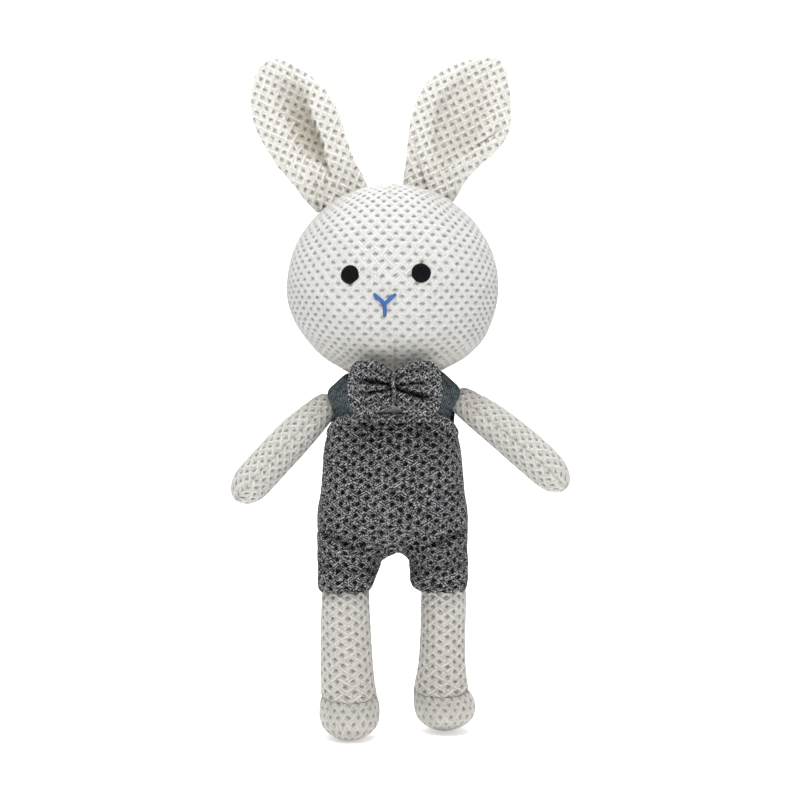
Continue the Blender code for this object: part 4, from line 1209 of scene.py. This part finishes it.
def grey_knit(name, kind, plies, deep, tint):
    """Marled yarn: black, mid and pale grey fibres twisted together along each strand, painted a
    little lighter on the strand tops, with painted shade in the hollows and in folds. deep is how
    dark the painted shade in the hollows is.
    """
    made, n, shader, cloth = material(name, 0.95, Specular_IOR_Level=0.04)
    hollow, strand, fleck, edge = yarn_of(n, cloth, kind, plies)
    grain = n.noise(cloth, 1.25, 4.0, 0.8)
    fine = n.noise(cloth, 3.4, 2.0, 0.6)
    mottle = n.sway(fleck, 1.7, 0.49)
    mottle = n.sway(grain, 2.0, mottle)
    mottle = n.sway(fine, 0.7, mottle)
    # Painted shade between the plies: a little lighter where the strand is high.
    mottle = n.sway(strand, 0.20, mottle, 0.64)
    ramp = n.add("ShaderNodeValToRGB")
    stops = ramp.color_ramp.elements
    stops[0].position, stops[0].color = 0.36, (0.008, 0.008, 0.009, 1)
    pale = 0.66 * tint
    stops[1].position, stops[1].color = 0.70, (pale, pale, pale * 1.02, 1)
    for at, value in ((0.45, 0.04), (0.52, 0.115), (0.60, 0.30)):
        stop = stops.new(at)
        stop.color = (value * tint, value * tint, value * tint * 1.04, 1)
    n.plug(mottle, ramp.inputs[0])
    # Painted shade in the hollows, near black, as far as deep says.
    ragged = n.sway(grain, 1.2, hollow)
    colour = n.mix(n.times(n.ramp(ragged, 0.32, 0.80), deep), ramp.outputs[0],
                   (0.004, 0.004, 0.005, 1))
    # Painted shade from the shade attribute: in folds, creases, valleys and under the bib's edge.
    n.plug(with_painted_shade(n, colour, (0.16, 0.16, 0.17, 1)), shader.inputs["Base Color"])
    height = n.plus(n.times(strand, 0.8), n.times(grain, 1.2))
    height = n.minus(height, n.times(edge, 0.4))
    height = n.minus(height, n.times(hollow, 1.0))
    bumped(n, shader, height, 0.0010)
    return made


CREAM, IVORY = (0.715, 0.713, 0.698), (0.885, 0.862, 0.815)
WARM, SHADY = (0.80, 0.778, 0.74), (0.76, 0.73, 0.685)
finishes = {
    "head": white_knit("white knit, head", "head", 3.6, CREAM, 0.64, 0.50),
    "arm": white_knit("white knit, arms", "arm", 2.0, WARM, 0.75, 0.85),
    "leg": white_knit("white knit, legs", "leg", 2.6, SHADY, 0.88, 0.9),
    "foot": white_knit("white knit, feet", "foot", 2.4, SHADY, 0.68, 0.85),
    "ear": white_knit("white knit, ears", "ear", 2.4, IVORY, 0.72, 0.7),
    "romper": grey_knit("grey knit, romper", "romper", 4.0, 0.94, 0.84),
    "bow": grey_knit("grey knit, bow", "bow", 2.0, 0.85, 0.95),
}
print("knitted finishes:", ", ".join(finishes))


# %% Felt and thread
def felt(name):
    """Brushed slate cloth: short fibres in every direction over a fine rib, with a painted highlight
    on the top of each rib.
    """
    made, n, shader, cloth = material(name, 0.96, Specular_IOR_Level=0.04)
    fibres = n.noise(n.vector(*_split(n, cloth, 1.5, 0.8)), 1.1, 4.0, 0.8)
    cloud = n.noise(cloth, 0.25, 2.0)
    split = n.add("ShaderNodeSeparateXYZ")
    n.plug(cloth, split.inputs[0])
    rib = n.math("ABSOLUTE", n.math("SINE", n.times(split.outputs[0], math.pi / 0.9)))
    tone = n.plus(n.times(fibres, 0.8), n.times(cloud, 0.30))
    # Painted highlight: a little lighter on the top of each rib.
    tone = n.sway(rib, 0.13, tone, 0.6)
    colour = n.mix(n.ramp(tone, 0.44, 0.68), (0.004, 0.006, 0.007, 1), (0.115, 0.14, 0.15, 1))
    n.plug(colour, shader.inputs["Base Color"])
    height = n.plus(n.times(rib, 0.5), n.times(fibres, 0.8))
    bumped(n, shader, height, 0.0004)
    return made


def _split(n, cloth, x_scale, y_scale):
    split = n.add("ShaderNodeSeparateXYZ")
    n.plug(cloth, split.inputs[0])
    return (n.times(split.outputs[0], x_scale),
            n.times(split.outputs[1], y_scale))


def thread(name, dark, light, spacing, slant, roughness, specular):
    """Satin stitch: threads side by side, each catching the light along its own ridge: the colour is
    painted lighter on each ridge, a painted highlight, and darker between threads, painted shade.
    """
    made, n, shader, cloth = material(name, roughness, Specular_IOR_Level=specular)
    x, y = _split(n, cloth, 1.0, slant)
    wave = n.math("DIVIDE", n.plus(x, y), spacing)
    wave = n.plus(wave, n.times(n.noise(cloth, 0.9, 2.0), 0.5))
    ridge = n.math("ABSOLUTE", n.math("SINE", n.times(wave, math.pi)))
    fine = n.noise(n.vector(*_split(n, cloth, 6.0, 1.2)), 1.0, 3.0)
    # Painted highlight on each ridge and painted shade between threads.
    tone = n.sway(fine, 0.9, n.times(ridge, 0.9))
    n.plug(n.mix(tone, dark, light), shader.inputs["Base Color"])
    bumped(n, shader, n.plus(ridge, n.times(fine, 0.5)), 0.00018)
    return made


finishes["strap"] = felt("slate felt")
finishes["black"] = thread("black satin stitch", (0.0006, 0.0006, 0.0008, 1),
                           (0.004, 0.004, 0.005, 1), 0.5, 0.35, 0.6, 0.12)
finishes["blue"] = thread("blue thread", (0.008, 0.035, 0.15, 1), (0.065, 0.20, 0.53, 1), 0.42,
                          0.25, 0.5, 0.25)
finishes["white"] = thread("white thread", (0.45, 0.45, 0.43, 1), (0.85, 0.85, 0.83, 1), 0.3,
                           1.0, 0.5, 0.2)


def dress(pieces, finish):
    for piece in pieces:
        piece.data.materials.append(finishes[finish])


dress([head_face, head_back, torso], "head")
dress(arms.values(), "arm")
dress(legs.values(), "leg")
dress(feet.values(), "foot")
dress(ears.values(), "ear")
dress(romper.values(), "romper")
dress([*bow.values(), bib_roll], "bow")
dress(straps.values(), "strap")
dress(eyes.values(), "black")
dress([nose], "blue")
dress([bow_thread], "bow")
dress([bow_tack], "white")

# %% [markdown]
# ## Floor, light and camera
#
# The toy stands on a plain pale sweep: a floor that curves up into a backdrop, with no corner to
# see. A big soft light above the toy and a little in front gives the hollows their shading, and
# a pale world fills the shadows. The camera looks straight at the toy from about a metre away, at half its
# height.


# %% The sweep
def sweep():
    """A straight floor, a quarter circle and a wall, carried sideways."""
    arc = np.linspace(0, np.pi / 2, 24)
    y = np.concatenate([[-1.6], 0.9 + 0.6 * np.sin(arc), [1.5]])
    z = np.concatenate([[0.0], 0.6 - 0.6 * np.cos(arc), [3.0]])
    points = np.stack(np.broadcast_arrays(np.linspace(-2.4, 2.4, 2)[None], y[:, None], z[:, None]),
                      -1)
    rows, columns = points.shape[:2]
    index = np.arange(rows * columns).reshape(rows, columns)
    mesh = bpy.data.meshes.new("studio_sweep")
    mesh.from_pydata(points.reshape(-1, 3).tolist(), [],
                     quads_of(index).reshape(-1, 4).tolist())
    mesh.shade_smooth()
    made = placed("studio_sweep", mesh)
    paper = bpy.data.materials.new("white paper")
    paper.use_nodes = True
    shader = paper.node_tree.nodes["Principled BSDF"]
    shader.inputs["Base Color"].default_value = (0.93, 0.93, 0.93, 1)
    shader.inputs["Roughness"].default_value = 0.9
    shader.inputs["Specular IOR Level"].default_value = 0.1
    shader.inputs["Emission Color"].default_value = (1.0, 1.0, 1.0, 1)
    shader.inputs["Emission Strength"].default_value = 0.42
    mesh.materials.append(paper)
    return made


def softbox(name, at, towards, size, power):
    """A square area light turned to face a point."""
    data = bpy.data.lights.new(name, "AREA")
    data.size, data.energy = size, power
    made = placed(name, data)
    made.location = at
    way = np.array(towards) - np.array(at)
    turn = math.atan2(way[1], way[0])
    made.rotation_euler = (math.acos(-way[2] / np.linalg.norm(way)), 0, turn - math.pi / 2)
    return made


sweep()
world = bpy.data.worlds.new("pale room")
world.use_nodes = True
world.node_tree.nodes["Background"].inputs[0].default_value = (1.0, 1.0, 1.0, 1)
world.node_tree.nodes["Background"].inputs[1].default_value = 0.28
bpy.context.scene.world = world
softbox("key", (-0.06, -0.58, 1.02), (0, 0, 0.20), 0.55, 11.0)
softbox("fill", (1.1, -1.2, 0.6), (0, 0, 0.17), 1.0, 1.5)
softbox("backdrop", (0.0, 0.55, 2.0), (0.0, 1.3, 0.2), 1.6, 40)

bpy.context.scene.view_settings.view_transform = "Standard"
SENSOR = 36.0  # mm
AWAY, HALF_WIDTH = 0.92, 0.2048  # metres to the toy, and half the width the camera sees there
camera_data = bpy.data.cameras.new("camera")
camera_data.sensor_width = SENSOR
camera_data.lens = SENSOR / 2 / (HALF_WIDTH / AWAY)
camera = placed("camera", camera_data)
camera.location = (AXIS[0] / 1000 + 0.0038, AXIS[1] / 1000 - AWAY, 0.169)
camera.rotation_euler = (math.pi / 2, 0, 0)
bpy.context.scene.camera = camera
print("lens:", round(camera_data.lens, 1), "mm")
